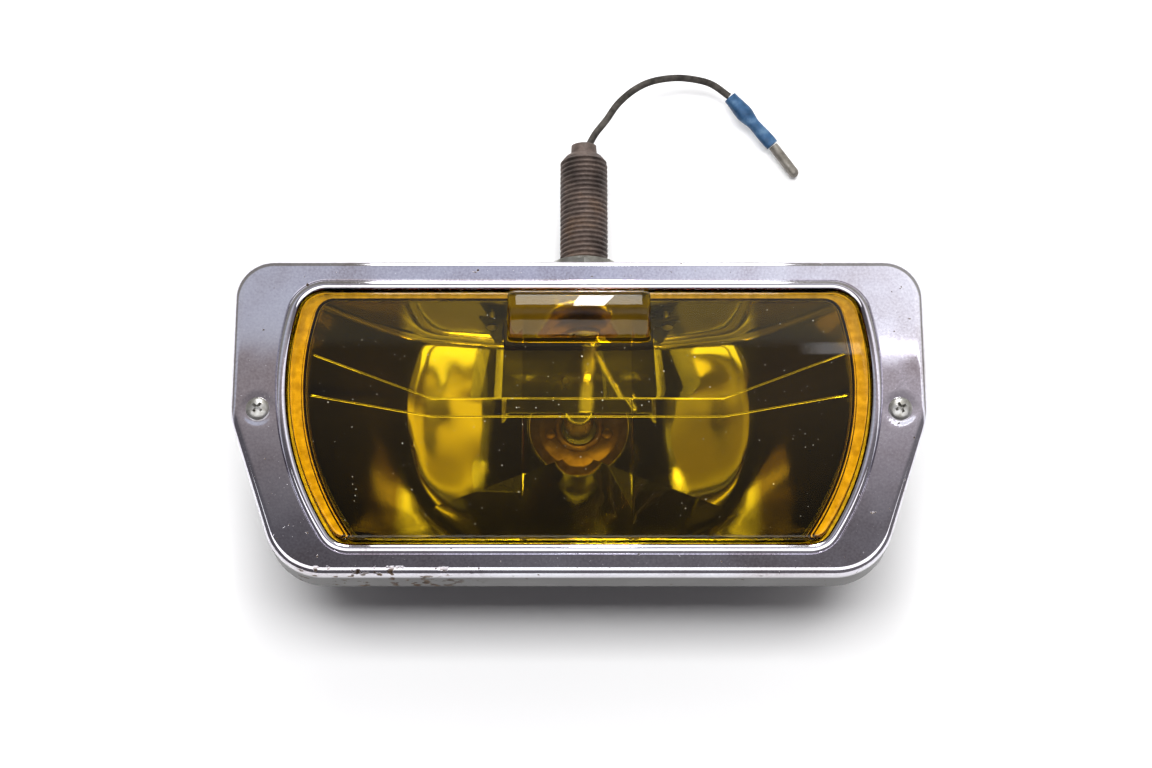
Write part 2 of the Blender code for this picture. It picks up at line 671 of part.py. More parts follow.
def bulb_hood():
    """A plate with a wall down each side, whose ears are riveted to the reflector's roof."""
    w, low, high, z = HOOD_HALF_WIDTH, HOOD_LOW_Y, HOOD_HIGH_Y, HOOD_Z
    bm = bmesh.new()
    corner = {}
    for side in (-1, 1):
        corner[side] = {
            "front_low": bm.verts.new((side * w, low, z)),
            "front_high": bm.verts.new((side * w, high, z)),
            "back_low": bm.verts.new((side * w, low, HOOD_FOOT_Z)),
            "back_high": bm.verts.new((side * w, high, HOOD_DEEP_Z)),
            "ear_front": bm.verts.new((side * HOOD_EAR_X, high, z + HOOD_EAR_RISE)),
            "ear_back": bm.verts.new((side * (w + 2 * MM), high, HOOD_DEEP_Z)),
        }
    left, right = corner[-1], corner[1]
    plate = (left["front_low"], right["front_low"], right["front_high"], left["front_high"])
    bm.faces.new(plate)
    for side, part in corner.items():
        wall = [part[k] for k in ("front_low", "back_low", "back_high", "front_high")]
        flap = [part[k] for k in ("front_high", "back_high", "ear_back", "ear_front")]
        for face in (wall, flap):
            bm.faces.new(face if side > 0 else list(reversed(face)))
    hood = mesh_object("bulb_hood", bm, DARK_STEEL)
    solidify(hood, HOOD_SHEET)
    for side, word in ((-1, "left"), (1, "right")):
        place = Vector((side * HOOD_RIVET_X, 0.0, HOOD_RIVET_Z))
        middle = place + Vector((0, high, 0))
        drill(hood, middle, RIVET_HOLE_RADIUS, 4 * MM, (0.0, 1.0, 0.0))
        grip_low, grip_high = high, HOOD_RIVET_ROOF_Y + BOWL_SHEET
        place.y = (grip_low + grip_high) / 2
        rivet(f"hood_rivet_{word}", place, grip_high - grip_low, ZINC, along_y=True)


def box(name, low, high, look):
    bm = bmesh.new()
    bmesh.ops.create_cube(bm, size=1.0)
    size = Vector(high) - Vector(low)
    bmesh.ops.scale(bm, verts=bm.verts, vec=size)
    bmesh.ops.translate(bm, verts=bm.verts, vec=(Vector(low) + Vector(high)) / 2)
    return mesh_object(name, bm, look)


def bulb_clip():
    pivot = CLIP_PIVOT
    arm = bpy.data.objects.new("bulb_clip_pivot", None)
    PARTS.objects.link(arm)
    arm.location = pivot
    span, reach = CLIP_HALF_SPAN, CLIP_REACH
    points = [(reach, -0.95 * span, 0), (0, -span, 0), (0, span, 0), (reach, 0.95 * span, 0)]
    clip = tube("bulb_clip", points, CLIP_WIRE, SPRING_STEEL)
    clip.parent = arm
    hole, outside, half = CLIP_WIRE + GAP, 1.6 * MM, 3 * MM
    eye = ((outside, half), (outside, -half), (hole, -half), (hole, half))
    turned("clip_eye", eye, ZINC, pivot, along_y=True, steps=20)
    catch_x = pivot.x + reach
    catch_low = Vector((catch_x - 1.5 * MM, AXIS_Y - 2.4 * MM, 10.6 * MM))
    box("clip_catch", catch_low, (catch_x + 0.5 * MM, AXIS_Y + 2.4 * MM, HOLDER_Z[0] - GAP), ZINC)


def strip(name, profile, half_width, middle_x, look, thickness=0.6 * MM):
    """A bent strip: the profile is (y, z) pairs, and the strip is straight along X."""
    bm = bmesh.new()
    pairs = [
        (bm.verts.new((middle_x - half_width, y, z)), bm.verts.new((middle_x + half_width, y, z)))
        for y, z in profile
    ]
    for (a, b), (c, d) in zip(pairs, pairs[1:]):
        bm.faces.new((a, b, d, c))
    obj = mesh_object(name, bm, look)
    solidify(obj, thickness)
    return obj


def lens_clips():
    """Spring clips that hold the lens, its gasket and the reflector's flange together."""
    flange = LENS_FLANGE_WIDTH
    for side_y, level in ((1, "upper"), (-1, "lower")):
        edge = (OPENING_TOP if side_y > 0 else -OPENING_BOTTOM) + flange
        low, high = RIM_Z - BOWL_SHEET - 3 * GAP, LENS_FLANGE_Z[1] + GAP
        outer = edge + GAP
        profile = [(edge - 0.8 * MM, low), (outer, low), (outer, high), (edge - 0.6 * MM, high)]
        profile = [(side_y * y, z) for y, z in profile]
        if side_y < 0:
            profile.reverse()
        for side_x, word in ((-1, "left"), (1, "right")):
            name = f"lens_clip_{level}_{word}"
            strip(name, profile, CLIP_HALF_WIDTH, side_x * CLIP_X, SPRING_STEEL)


def bezel_screw(side, word):
    seat = BEZEL_FRONT_Z + GAP
    rim, shank = SCREW_HEAD_RADIUS, SCREW_SHANK_RADIUS
    profile = [(0.0, seat + 1.5 * MM), (1.5 * MM, seat + 1.25 * MM), (rim, seat + 0.5 * MM)]
    profile += [(rim, seat), (shank, seat), (shank, SCREW_TIP_Z + 1.5 * MM), (0.0, SCREW_TIP_Z)]
    turned(f"bezel_screw_{word}", profile, STEEL, (side * SCREW_X, SCREW_Y, 0.0), steps=20)


def screw_bracket(side, word):
    """An angle under the bezel that a screw reaches, and the spring nut under it."""
    clear, top = SCREW_SHANK_RADIUS + GAP, BRACKET_Z
    inner_x, outer_x = side * BRACKET_X[0], side * BRACKET_X[1]
    bm = bmesh.new()
    rows = []
    for y in (SCREW_Y - 3 * MM, SCREW_Y + 7 * MM):
        spots = ((outer_x, top), (inner_x, top), (inner_x, top - BRACKET_DROP))
        rows.append([bm.verts.new((x, y, z)) for x, z in spots])
    for k in (0, 1):
        face = (rows[0][k], rows[0][k + 1], rows[1][k + 1], rows[1][k])
        bm.faces.new(face if side < 0 else tuple(reversed(face)))
    bracket = mesh_object(f"screw_bracket_{word}", bm, ZINC)
    solidify(bracket, BRACKET_SHEET)
    drill(bracket, (side * SCREW_X, SCREW_Y, top), clear, 6 * MM)
    nut_top = top - BRACKET_SHEET - GAP
    low = (side * SCREW_X - 2.4 * MM, SCREW_Y - 3 * MM, nut_top - 0.8 * MM)
    high = (side * SCREW_X + 2.4 * MM, SCREW_Y + 4 * MM, nut_top)
    nut = box(f"screw_nut_{word}", low, high, SPRING_STEEL)
    drill(nut, (side * SCREW_X, SCREW_Y, nut_top), clear, 6 * MM)


def bulb_lead():
    """The bulb's own lead, with the bullet on its end and the sleeve that takes it."""
    neck = Vector((0.0, AXIS_Y, BULB_NECK_Z - GAP - LEAD_RADIUS))
    route = [
        neck,
        neck + Vector((-6 * MM, 0, -0.4 * MM)),
        neck + Vector((-14 * MM, 0, 0.6 * MM)),
        Vector((-21 * MM, AXIS_Y, 12.6 * MM)),
        Vector((JOINT_X + 1.2 * MM, AXIS_Y, 14.6 * MM)),
        Vector((JOINT_X, AXIS_Y, 13.4 * MM)),
        Vector((JOINT_X, AXIS_Y, 12.2 * MM)),
    ]
    tube("bulb_lead", smooth_path(route, 3), LEAD_RADIUS, BLACK_WIRE)
    place = (JOINT_X, AXIS_Y, 0.0)
    bullet_radius, bullet_top, bullet_foot = 1.5 * MM, 11.9 * MM, 6.0 * MM
    bullet = ((0.0, bullet_top), (bullet_radius, bullet_top), (bullet_radius, bullet_foot))
    bullet += ((0.0, bullet_foot - 0.6 * MM),)
    turned("bulb_lead_bullet", bullet, BRASS, place, steps=16)
    outer, inner, top, foot = 2.8 * MM, 1.8 * MM, 9.4 * MM, 2.6 * MM
    cup = ((outer, top), (outer, foot), (inner, foot), (inner, top))
    turned("supply_joint_sleeve", cup, BLUE_PLASTIC, place, steps=16)


def supply_leads():
    """The supply lead inside the housing, and the wire inside the hollow stud."""
    mouth = Vector((STUD_X, BALL_Y - BALL_RADIUS - 0.5 * MM, STUD_Z - 0.3 * MM))
    route = [
        mouth,
        mouth + Vector((-0.5 * MM, -2 * MM, -2.4 * MM)),
        Vector((-3 * MM, 25 * MM, 8.5 * MM)),
        Vector((-11 * MM, 21 * MM, 5.2 * MM)),
        Vector((-19 * MM, 15 * MM, 4.2 * MM)),
        Vector((JOINT_X + 2.2 * MM, AXIS_Y + 4.2 * MM, 4.2 * MM)),
    ]
    tube("inner_supply_lead", smooth_path(route, 4), WIRE_RADIUS, BLACK_WIRE)
    core = Vector((STUD_X, BALL_Y - 4 * MM, STUD_Z))
    bend = Vector((STUD_X, STUD_END_Y - 12 * MM, STUD_Z))
    mouth_out = Vector((STUD_X + WIRE_MOUTH_X, STUD_END_Y, STUD_Z))
    tube("stud_lead", [core, bend, mouth_out], WIRE_RADIUS, BLACK_WIRE)


def supply_wire():
    """The wire outside the lamp, its crimped sleeve and the bare pin."""
    path = smooth_path([Vector(p) * MM for p in WIRE_ROUTE_MM], 2)
    tube("supply_wire", path, WIRE_RADIUS, BLACK_WIRE)
    start, joint, tip = path[-1], Vector(SLEEVE_END_MM) * MM, Vector(PIN_END_MM) * MM
    length = (joint - start).length
    sleeve = [(0.0, length)] + [(r * MM, length * t) for r, t in SLEEVE_PROFILE]
    sleeve += [(SLEEVE_MOUTH_RADIUS, GAP), (0.0, GAP)]
    made = turned("connector_sleeve", sleeve, BLUE_PLASTIC, start, steps=20)
    made.rotation_euler = (joint - start).to_track_quat("Z", "Y").to_euler()
    length = (tip - joint).length
    pin = [(0.0, length), (0.6 * PIN_RADIUS, length - 0.3 * MM), (PIN_RADIUS, length - 1.2 * MM)]
    pin += [(PIN_RADIUS, GAP), (0.0, GAP)]
    made = turned("connector_pin", pin, OLD_STEEL, joint, steps=16)
    made.rotation_euler = (tip - joint).to_track_quat("Z", "Y").to_euler()


clear_scene()
PARTS = new_collection(OBJECT_NAME)
HELPERS = new_collection(OBJECT_NAME + "_helpers")
CHROME = material("chrome", (0.62, 0.62, 0.66), 1.0, 0.12)
BRIGHT_METAL = material("bright_metal", (0.85, 0.85, 0.83), 1.0, 0.12)
YELLOW_GLASS = material("yellow_glass", (0.95, 0.72, 0.03), 0.0, 0.03, 0.9)
CLEAR_GLASS = material("clear_glass", (0.95, 0.96, 0.95), 0.0, 0.02, 0.95)
BLACK_PAINT = material("black_paint", (0.02, 0.02, 0.022), 0.0, 0.45)
ZINC = material("zinc", (0.5, 0.5, 0.48), 0.9, 0.4)
STEEL = material("screw_steel", (0.55, 0.55, 0.54), 1.0, 0.3)
DARK_STEEL = material("dark_steel", (0.2, 0.2, 0.19), 0.9, 0.3)
SPRING_STEEL = material("spring_steel", (0.3, 0.3, 0.3), 0.9, 0.35)
OLD_STEEL = material("old_steel", (0.18, 0.14, 0.12), 0.7, 0.55)
COPPER_STEEL = material("copper_steel", (0.45, 0.26, 0.16), 0.8, 0.4)
BRASS = material("brass", (0.6, 0.45, 0.18), 1.0, 0.35)
RUBBER = material("rubber", (0.02, 0.02, 0.02), 0.0, 0.8)
BLACK_WIRE = material("black_wire", (0.05, 0.045, 0.04), 0.0, 0.6)
BLUE_PLASTIC = material("blue_plastic", (0.08, 0.22, 0.42), 0.0, 0.5)

bezel()
lens()
gasket_outer, gasket_inner = [opening_outline(grow) for grow in GASKET_GROW]
flat_ring("lens_gasket", gasket_outer, gasket_inner, RIM_Z + GAP, LENS_FLANGE_Z[0] - GAP, RUBBER)
reflector()
housing()
swivel()
stud()
lock_nut()
bulb()
bulb_hood()
bulb_clip()
lens_clips()
for side, word in ((-1, "left"), (1, "right")):
    bezel_screw(side, word)
    screw_bracket(side, word)
bulb_lead()
supply_leads()
supply_wire()
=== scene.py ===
"""The looks of a rectangular fog light with a yellow lens, a chromed bezel and a threaded stud.

Everything is in metres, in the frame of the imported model: +Z leaves the lens, +Y follows the
stud and +X is the width. The lamp lies on its back on a pale floor at z = 0.
"""

import random
from math import asin, atan2, cos, hypot, pi, radians, sin, sqrt, tan

import bmesh
import bpy
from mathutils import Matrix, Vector, noise


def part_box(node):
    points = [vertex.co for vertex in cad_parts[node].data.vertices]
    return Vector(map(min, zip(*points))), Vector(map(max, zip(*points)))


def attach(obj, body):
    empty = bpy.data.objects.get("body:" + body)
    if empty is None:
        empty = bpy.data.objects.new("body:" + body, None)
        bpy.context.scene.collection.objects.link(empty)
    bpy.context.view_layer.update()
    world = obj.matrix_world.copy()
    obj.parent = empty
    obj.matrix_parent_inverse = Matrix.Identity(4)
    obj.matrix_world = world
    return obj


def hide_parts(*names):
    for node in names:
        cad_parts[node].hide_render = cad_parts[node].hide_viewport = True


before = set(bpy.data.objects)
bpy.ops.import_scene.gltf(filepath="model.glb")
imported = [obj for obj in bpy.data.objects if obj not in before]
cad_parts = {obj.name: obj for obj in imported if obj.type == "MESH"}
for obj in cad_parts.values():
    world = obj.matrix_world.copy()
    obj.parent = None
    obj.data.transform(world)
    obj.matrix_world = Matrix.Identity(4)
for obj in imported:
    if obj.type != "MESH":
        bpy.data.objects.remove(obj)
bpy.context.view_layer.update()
MM = 0.001
GAP = 0.3 * MM


def mm(*values):
    return [value * MM for value in values]



# Bezel. Its outline is a six-sided kite with rounded corners.
BEZEL_LOW, BEZEL_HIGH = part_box("bezel")
FRONT = BEZEL_HIGH.z
SKIRT_Z = BEZEL_LOW.z
HALF_HEIGHT = (BEZEL_HIGH.y - BEZEL_LOW.y) / 2
WAIST_HALF_WIDTH = 79.9 * MM
TOP_HALF_WIDTH = 79.9 * MM
FOOT_HALF_WIDTH = 67.6 * MM
WAIST_Y = -0.5 * MM
TOP_CORNER, WAIST_CORNER, FOOT_CORNER = mm(9.0, 16.0, 14.0)
SHEET = 0.8 * MM
ROLL = 1.5 * MM
LIP_DEPTH = 2.8 * MM

# The opening in the bezel, round the optical axis.
AXIS_Y = 8.3 * MM
OPENING_RADIUS = 66.9 * MM
OPENING_TOP, OPENING_FOOT = mm(29.9, -30.2)
OPENING_TOP_CORNER, OPENING_FOOT_CORNER = mm(6.5, 5.5)

# Lens.
LENS_LOW, LENS_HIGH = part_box("lens")
LENS_FRONT = FRONT + 1.0 * MM
LENS_THICKNESS = 4.5 * MM
LENS_EDGE = 0.9 * MM
LENS_SIDE_WALL, LENS_FLAT_WALL = mm(3.2, 0.9)
FLANGE_TOP = LENS_LOW.z + 2.0 * MM
FLANGE_WIDTH = 1.5 * MM
BAR_HALF_LENGTH, BAR_Y, BAR_HALF_WIDTH = mm(16.5, 23.2, 6.3)
BAR_HEIGHT = LENS_HIGH.z - LENS_FRONT

# Reflector.
APEX_Z, RIM_Z = mm(16.5, 48.8)
BOWL_RIM_RADIUS, BOWL_STEP_RADIUS, BOWL_HOLE_RADIUS = mm(64.4, 42.0, 11.9)
BOWL_FOCUS_X, BOWL_FOCUS_Y = mm(75.0, 28.0)
BOWL_ROOF_Y, BOWL_FLOOR_Y = mm(29.4, -28.6)
BOWL_ROOF_DRAFT, BOWL_FLOOR_DRAFT = mm(2.0, 0.9)
BOWL_STEP_SOFTNESS = 3.0 * MM
BOWL_SHEET = 0.9 * MM

# Hood.
HOOD_HALF_WIDTH, HOOD_Z = mm(17.0, 40.5)
HOOD_LOW_Y, HOOD_HIGH_Y = mm(4.6, 26.9)
HOOD_FOOT_Z, HOOD_DEEP_Z = mm(32.0, 25.0)
HOOD_SHEET = 0.8 * MM

# Housing.
HOUSING_TOP_Y = 35.2 * MM
HOUSING_RIM_Z, HOUSING_SEAL_Z = mm(51.6, 54.8)

# Screws.
SCREW_X, SCREW_Y = mm(73.5, 1.2)
SCREW_HEAD_RADIUS, SCREW_SHANK_RADIUS = mm(2.75, 1.45)
SLOT_SKEW = 0.02  # radians by which a cross's second slot is off square

# Swivel and stud. The stud's axis runs along Y through the ball's centre.
BALL = Vector((1.3 * MM, 38.5 * MM, 16.0 * MM))
BALL_RADIUS = 8.0 * MM
# Inner and outer radius of the nested shells round the ball.
SOCKET_RADII, DOME_RADII, CUP_RADII = mm(8.3, 9.1), mm(9.4, 10.2), mm(10.5, 11.1)

THREAD_RADIUS, THREAD_PITCH, THREAD_DEPTH = mm(5.95, 1.25, 0.62)
THREAD_END_Y, STUD_END_Y = mm(79.8, 82.9)
STUD_NECK_RADIUS, STUD_BORE_RADIUS, STUD_MOUTH_RADIUS = mm(3.6, 2.6, 4.0)
NUT_TOP_Y, NUT_ACROSS_FLATS = mm(50.4, 17.0)

# Supply wire, from the mouth of the stud to the connector that lies on the floor.
WIRE_RADIUS = 0.9 * MM
WIRE_ROUTE_MM = (
    (2.5, 83.2, 16.0),
    (4.3, 86.6, 16.0),
    (7.0, 90.4, 15.6),
    (10.0, 95.2, 14.9),
    (14.1, 99.5, 13.8),
    (18.8, 102.5, 12.5),
    (24.8, 104.2, 10.9),
    (30.1, 104.4, 9.4),
    (34.5, 103.6, 8.1),
    (38.9, 100.9, 6.7),
)
SLEEVE_END_MM = (50.0, 88.6, 3.7)
PIN_END_MM = (56.2, 80.6, 1.9)

# The crimped sleeve: share of its length, half width and half height.
SLEEVE_SECTIONS_MM = (
    (0.00, 1.75, 1.55), (0.10, 1.85, 1.7), (0.26, 2.15, 1.95), (0.36, 2.2, 1.8), (0.46, 1.9, 1.35),
    (0.56, 1.55, 1.5), (0.66, 1.6, 1.55), (0.78, 1.75, 1.3), (0.9, 1.8, 1.35), (1.00, 1.7, 1.35),
)

TOP_STEPS, CORNER_STEPS, SIDE_STEPS = 40, 16, 64


# ---- camera

CAMERA_PITCH = 17.663
CAMERA_PLACE = (-0.00069, -0.17323, 0.62261)
CAMERA_LENS = 81.0


def placed(name, data):
    """A new object in the scene."""
    made = bpy.data.objects.new(name, data)
    bpy.context.scene.collection.objects.link(made)
    return made


def camera():
    data = bpy.data.cameras.new("camera")
    data.sensor_width = 36.0
    data.lens = CAMERA_LENS
    data.clip_start, data.clip_end = 0.01, 50.0
    made = placed("camera", data)
    made.location = CAMERA_PLACE
    made.rotation_euler = (radians(CAMERA_PITCH), 0.0, 0.0)
    bpy.context.scene.camera = made


# ---- meshes


def shade(mesh, smooth_angle=40.0):
    mesh.shade_smooth()
    mesh.set_sharp_from_angle(angle=radians(smooth_angle))


def mesh_object(name, bm, look=None, smooth_angle=40.0):
    mesh = bpy.data.meshes.new(name)
    bm.to_mesh(mesh)
    bm.free()
    shade(mesh, smooth_angle)
    if look:
        mesh.materials.append(look)
    return placed(name, mesh)


def fill_rings(bm, rows, close=False):
    """Quads between rings of equal count. Rings run clockwise seen from +Z."""
    rings = [[bm.verts.new(point) for point in row] for row in rows]
    pairs = list(zip(rings, rings[1:]))
    if close:
        pairs.append((rings[-1], rings[0]))
    count = len(rings[0])
    for lower, upper in pairs:
        for i in range(count):
            j = (i + 1) % count
            bm.faces.new((lower[i], upper[i], upper[j], lower[j]))
    return rings


def loft(name, rows, look, caps=(False, False), close=False, smooth_angle=40.0):
    bm = bmesh.new()
    rings = fill_rings(bm, rows, close)
    if caps[0]:
        bm.faces.new(rings[0])
    if caps[1]:
        bm.faces.new(tuple(reversed(rings[-1])))
    if close or all(caps):
        bmesh.ops.recalc_face_normals(bm, faces=bm.faces)
    return mesh_object(name, bm, look, smooth_angle)


def thicken(obj, thickness):
    """Makes a sheet of a surface, behind its face."""
    shell = obj.modifiers.new("sheet", "SOLIDIFY")
    shell.thickness = thickness
    shell.offset = -1.0
    shell.use_even_offset = True


def round_edges(obj, width, segments, angle):
    edges = obj.modifiers.new("edges", "BEVEL")
    edges.width = width
    edges.segments = segments
    edges.limit_method = "ANGLE"
    edges.angle_limit = radians(angle)
    return edges


def axes_of(axis):
    """Two directions square to an axis and to each other."""
    axis = Vector(axis).normalized()
    side = Vector((0, 0, 1)) if abs(axis.z) < 0.9 else Vector((1, 0, 0))
    u = axis.cross(side).normalized()
    return axis, u, axis.cross(u)


def revolve(name, profile, origin, axis, look, count=64, close=False):
    """A turned piece. The profile is (radius, height) pairs along the axis."""
    axis, u, v = axes_of(axis)
    rows = []
    for radius, height in profile:
        middle = Vector(origin) + axis * height
        turn = [2 * pi * k / count for k in range(count)]
        rows.append([middle + (u * cos(a) + v * sin(a)) * radius for a in turn])
    return loft(name, rows, look, (not close, not close), close)


def combine(obj, helper, operation="DIFFERENCE"):
    """Cuts or joins with a helper, bakes the result into obj and removes the helper."""
    boolean = obj.modifiers.new("boolean", "BOOLEAN")
    boolean.operation = operation
    boolean.object = helper
    settle(obj)
    bpy.data.objects.remove(helper)


def settle(obj):
    """Replaces the mesh by its evaluated form, without modifiers."""
    graph = bpy.context.evaluated_depsgraph_get()
    mesh = bpy.data.meshes.new_from_object(obj.evaluated_get(graph), depsgraph=graph)
    obj.modifiers.clear()
    obj.data = mesh
    shade(mesh)


def rod(name, start, end, radius):
    """A plain round cutter between two points."""
    start, end = Vector(start), Vector(end)
    bm = bmesh.new()
    length = (end - start).length
    bmesh.ops.create_cone(bm, cap_ends=True, segments=32, radius1=radius, radius2=radius, depth=length)
    made = mesh_object(name, bm)
    made.location = (start + end) / 2
    made.rotation_euler = (end - start).to_track_quat("Z", "Y").to_euler()
    return made


def finish(obj, body, slot, *nodes):
    """Rides a piece on its body and hides the CAD nodes it stands for. The slot is not used."""
    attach(obj, body)
    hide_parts(*nodes)


# ---- outlines


def arc(centre, radius, start, end, steps):
    """Points round a centre, without the last one. Angles are radians."""
    turn = [start + (end - start) * k / steps for k in range(steps)]
    return [(centre[0] + radius * cos(a), centre[1] + radius * sin(a)) for a in turn]


def quarter_turn(steps):
    """(sine, cosine) pairs from 0 to 90 degrees."""
    return [(sin(pi / 2 * k / steps), cos(pi / 2 * k / steps)) for k in range(steps + 1)]


def away_from(here, start, end):
    """Distance of a point from a straight segment."""
    along = end - start
    share = min(max((here - start).dot(along) / along.length_squared, 0.0), 1.0)
    return (here - (start + along * share)).length


def line(start, end, steps):
    return [
        (start[0] + (end[0] - start[0]) * k / steps, start[1] + (end[1] - start[1]) * k / steps)
        for k in range(steps)
    ]


def mirrored(right_half):
    """A whole ring from its right half, which runs from the top middle to the bottom middle."""
    return right_half + [(-x, y) for x, y in reversed(right_half[1:-1])]


def round_sided(radius, top, bottom, top_corner, foot_corner):
    """A circle cut off by a flat top and bottom, with rounded corners."""
    ends = []
    for edge, corner in ((top - top_corner, top_corner), (bottom + foot_corner, foot_corner)):
        rise = edge - AXIS_Y
        ends.append((sqrt((radius - corner) ** 2 - rise**2), edge, rise))
    (top_x, top_y, top_rise), (foot_x, foot_y, foot_rise) = ends
    top_angle = atan2(top_rise, top_x)
    foot_angle = atan2(foot_rise, foot_x)
    half = line((0.0, top), (top_x, top), TOP_STEPS)
    half += arc((top_x, top_y), top_corner, pi / 2, top_angle, CORNER_STEPS)
    half += arc((0.0, AXIS_Y), radius, top_angle, foot_angle, SIDE_STEPS)
    half += arc((foot_x, foot_y), foot_corner, foot_angle, -pi / 2, CORNER_STEPS)
    half += line((foot_x, bottom), (0.0, bottom), TOP_STEPS)
    return mirrored(half + [(0.0, bottom)])


def fillet(before, corner, after, radius):
    """(centre, start angle, end angle, first point, last point) of a clockwise corner."""
    b, c, a = Vector(before), Vector(corner), Vector(after)
    into, out = (b - c).normalized(), (a - c).normalized()
    half = into.angle(out) / 2
    first = c + into * radius / tan(half)
    last = c + out * radius / tan(half)
    centre = c + (into + out).normalized() * radius / sin(half)
    start = atan2(first.y - centre.y, first.x - centre.x)
    end = atan2(last.y - centre.y, last.x - centre.x)
    return centre, start, end, first, last


def kite_sided(top_half, half, foot_half, top, bottom, corners):
    """A six-sided outline with rounded corners, widest at the waist."""
    side = SIDE_STEPS // 4 + SIDE_STEPS // 8
    ways = [(0.0, top), (top_half, top), (half, WAIST_Y), (foot_half, bottom), (0.0, bottom)]
    straights = (TOP_STEPS, side, side)
    turns = (CORNER_STEPS, SIDE_STEPS - 2 * side, CORNER_STEPS)
    right, at = [], ways[0]
    for k, radius in enumerate(corners):
        centre, start, end, first, last = fillet(*ways[k:k + 3], radius)
        right += line(at, first, straights[k]) + arc(centre, radius, start, end, turns[k])
        at = last
    right += line(at, ways[-1], TOP_STEPS)
    return mirrored(right + [ways[-1]])


def bezel_outline(inset=0.0):
    return kite_sided(
        TOP_HALF_WIDTH - inset,
        WAIST_HALF_WIDTH - inset,
        FOOT_HALF_WIDTH - inset * 0.75,
        HALF_HEIGHT - inset,
        -HALF_HEIGHT + inset,
        (TOP_CORNER - inset, WAIST_CORNER, FOOT_CORNER - inset),
    )


def opening_outline(side=0.0, flat=None):
    """The opening, grown at its sides and, if given, by another amount at its top and bottom."""
    flat = side if flat is None else flat
    corner = (side + flat) / 2
    return round_sided(
        OPENING_RADIUS + side,
        OPENING_TOP + flat,
        OPENING_FOOT - flat,
        OPENING_TOP_CORNER + corner,
        OPENING_FOOT_CORNER + corner,
    )


def at_height(outline, z):
    return [(x, y, z) for x, y in outline]


def opening_row(z, side, flat=None):
    return at_height(opening_outline(side, flat), z)


def between(first, second, share):
    return [Vector(a).lerp(Vector(b), share) for a, b in zip(first, second)]


def ease(value, low, high):
    """0 below low, 1 above high and smooth between them."""
    t = min(max((value - low) / (high - low), 0.0), 1.0)
    return t * t * (3 - 2 * t)


# ---- materials


def add(tree, kind, inputs=None, **settings):
    made = tree.nodes.new("ShaderNode" + kind)
    for key, value in settings.items():
        setattr(made, key, value)
    for key, value in (inputs or {}).items():
        if isinstance(value, bpy.types.NodeSocket):
            tree.links.new(value, made.inputs[key])
        else:
            made.inputs[key].default_value = value
    return made


def place_of(tree):
    return add(tree, "TexCoord").outputs["Object"]


def grain(tree, scale, detail=4.0, stretch=None, offset=0.0):
    """Noise from 0 to 1 whose features are about 1 / scale metres."""
    where = place_of(tree)
    if stretch or offset:
        moved = {"Vector": where, "Location": (offset,) * 3, "Scale": stretch or (1, 1, 1)}
        where = add(tree, "Mapping", moved).outputs[0]
    made = add(tree, "TexNoise", {"Vector": where, "Scale": scale, "Detail": detail})
    return made.outputs[0]


def window(tree, value, low, high):
    """0 at low and 1 at high, clamped outside."""
    ends = {"Value": value, "From Min": low, "From Max": high}
    return add(tree, "MapRange", ends, clamp=True).outputs[0]


def maths(tree, operation, a, b=0.0):
    return add(tree, "Math", {0: a, 1: b}, operation=operation).outputs[0]


def ramp(tree, value, *stops):
    """Colours at places from 0 to 1. The elements are spread in order first, so none swap."""
    made = add(tree, "ValToRGB", {"Fac": value})
    band = made.color_ramp.elements
    for _ in stops[2:]:
        band.new(0.5)
    for k, element in enumerate(band):
        element.position = k / (len(stops) - 1)
    for element, (position, colour) in zip(list(band), stops):
        element.position = position
        element.color = (*colour, 1.0)
    return made.outputs["Color"]


def mix(tree, factor, first, second):
    def colour(value):
        return value if isinstance(value, bpy.types.NodeSocket) else (*value, 1.0)

    inputs = {"Fac": factor, "Color1": colour(first), "Color2": colour(second)}
    return add(tree, "MixRGB", inputs).outputs[0]


def material(name, **plain):
    """A material, its tree and its Principled shader, with plain values set on the sockets."""
    made = bpy.data.materials.new(name)
    made.use_nodes = True
    shader = made.node_tree.nodes["Principled BSDF"]
    for key, value in plain.items():
        shader.inputs[key.replace("_", " ")].default_value = value
    return made, made.node_tree, shader


def feed(tree, shader, **sockets):
    for key, value in sockets.items():
        tree.links.new(value, shader.inputs[key.replace("_", " ")])


def bump(tree, shader, height, depth):
    """Presses a height from 0 to 1 into the surface. The depth is in metres."""
    made = add(tree, "Bump", {"Height": height, "Strength": 1.0, "Distance": depth})
    tree.links.new(made.outputs[0], shader.inputs["Normal"])


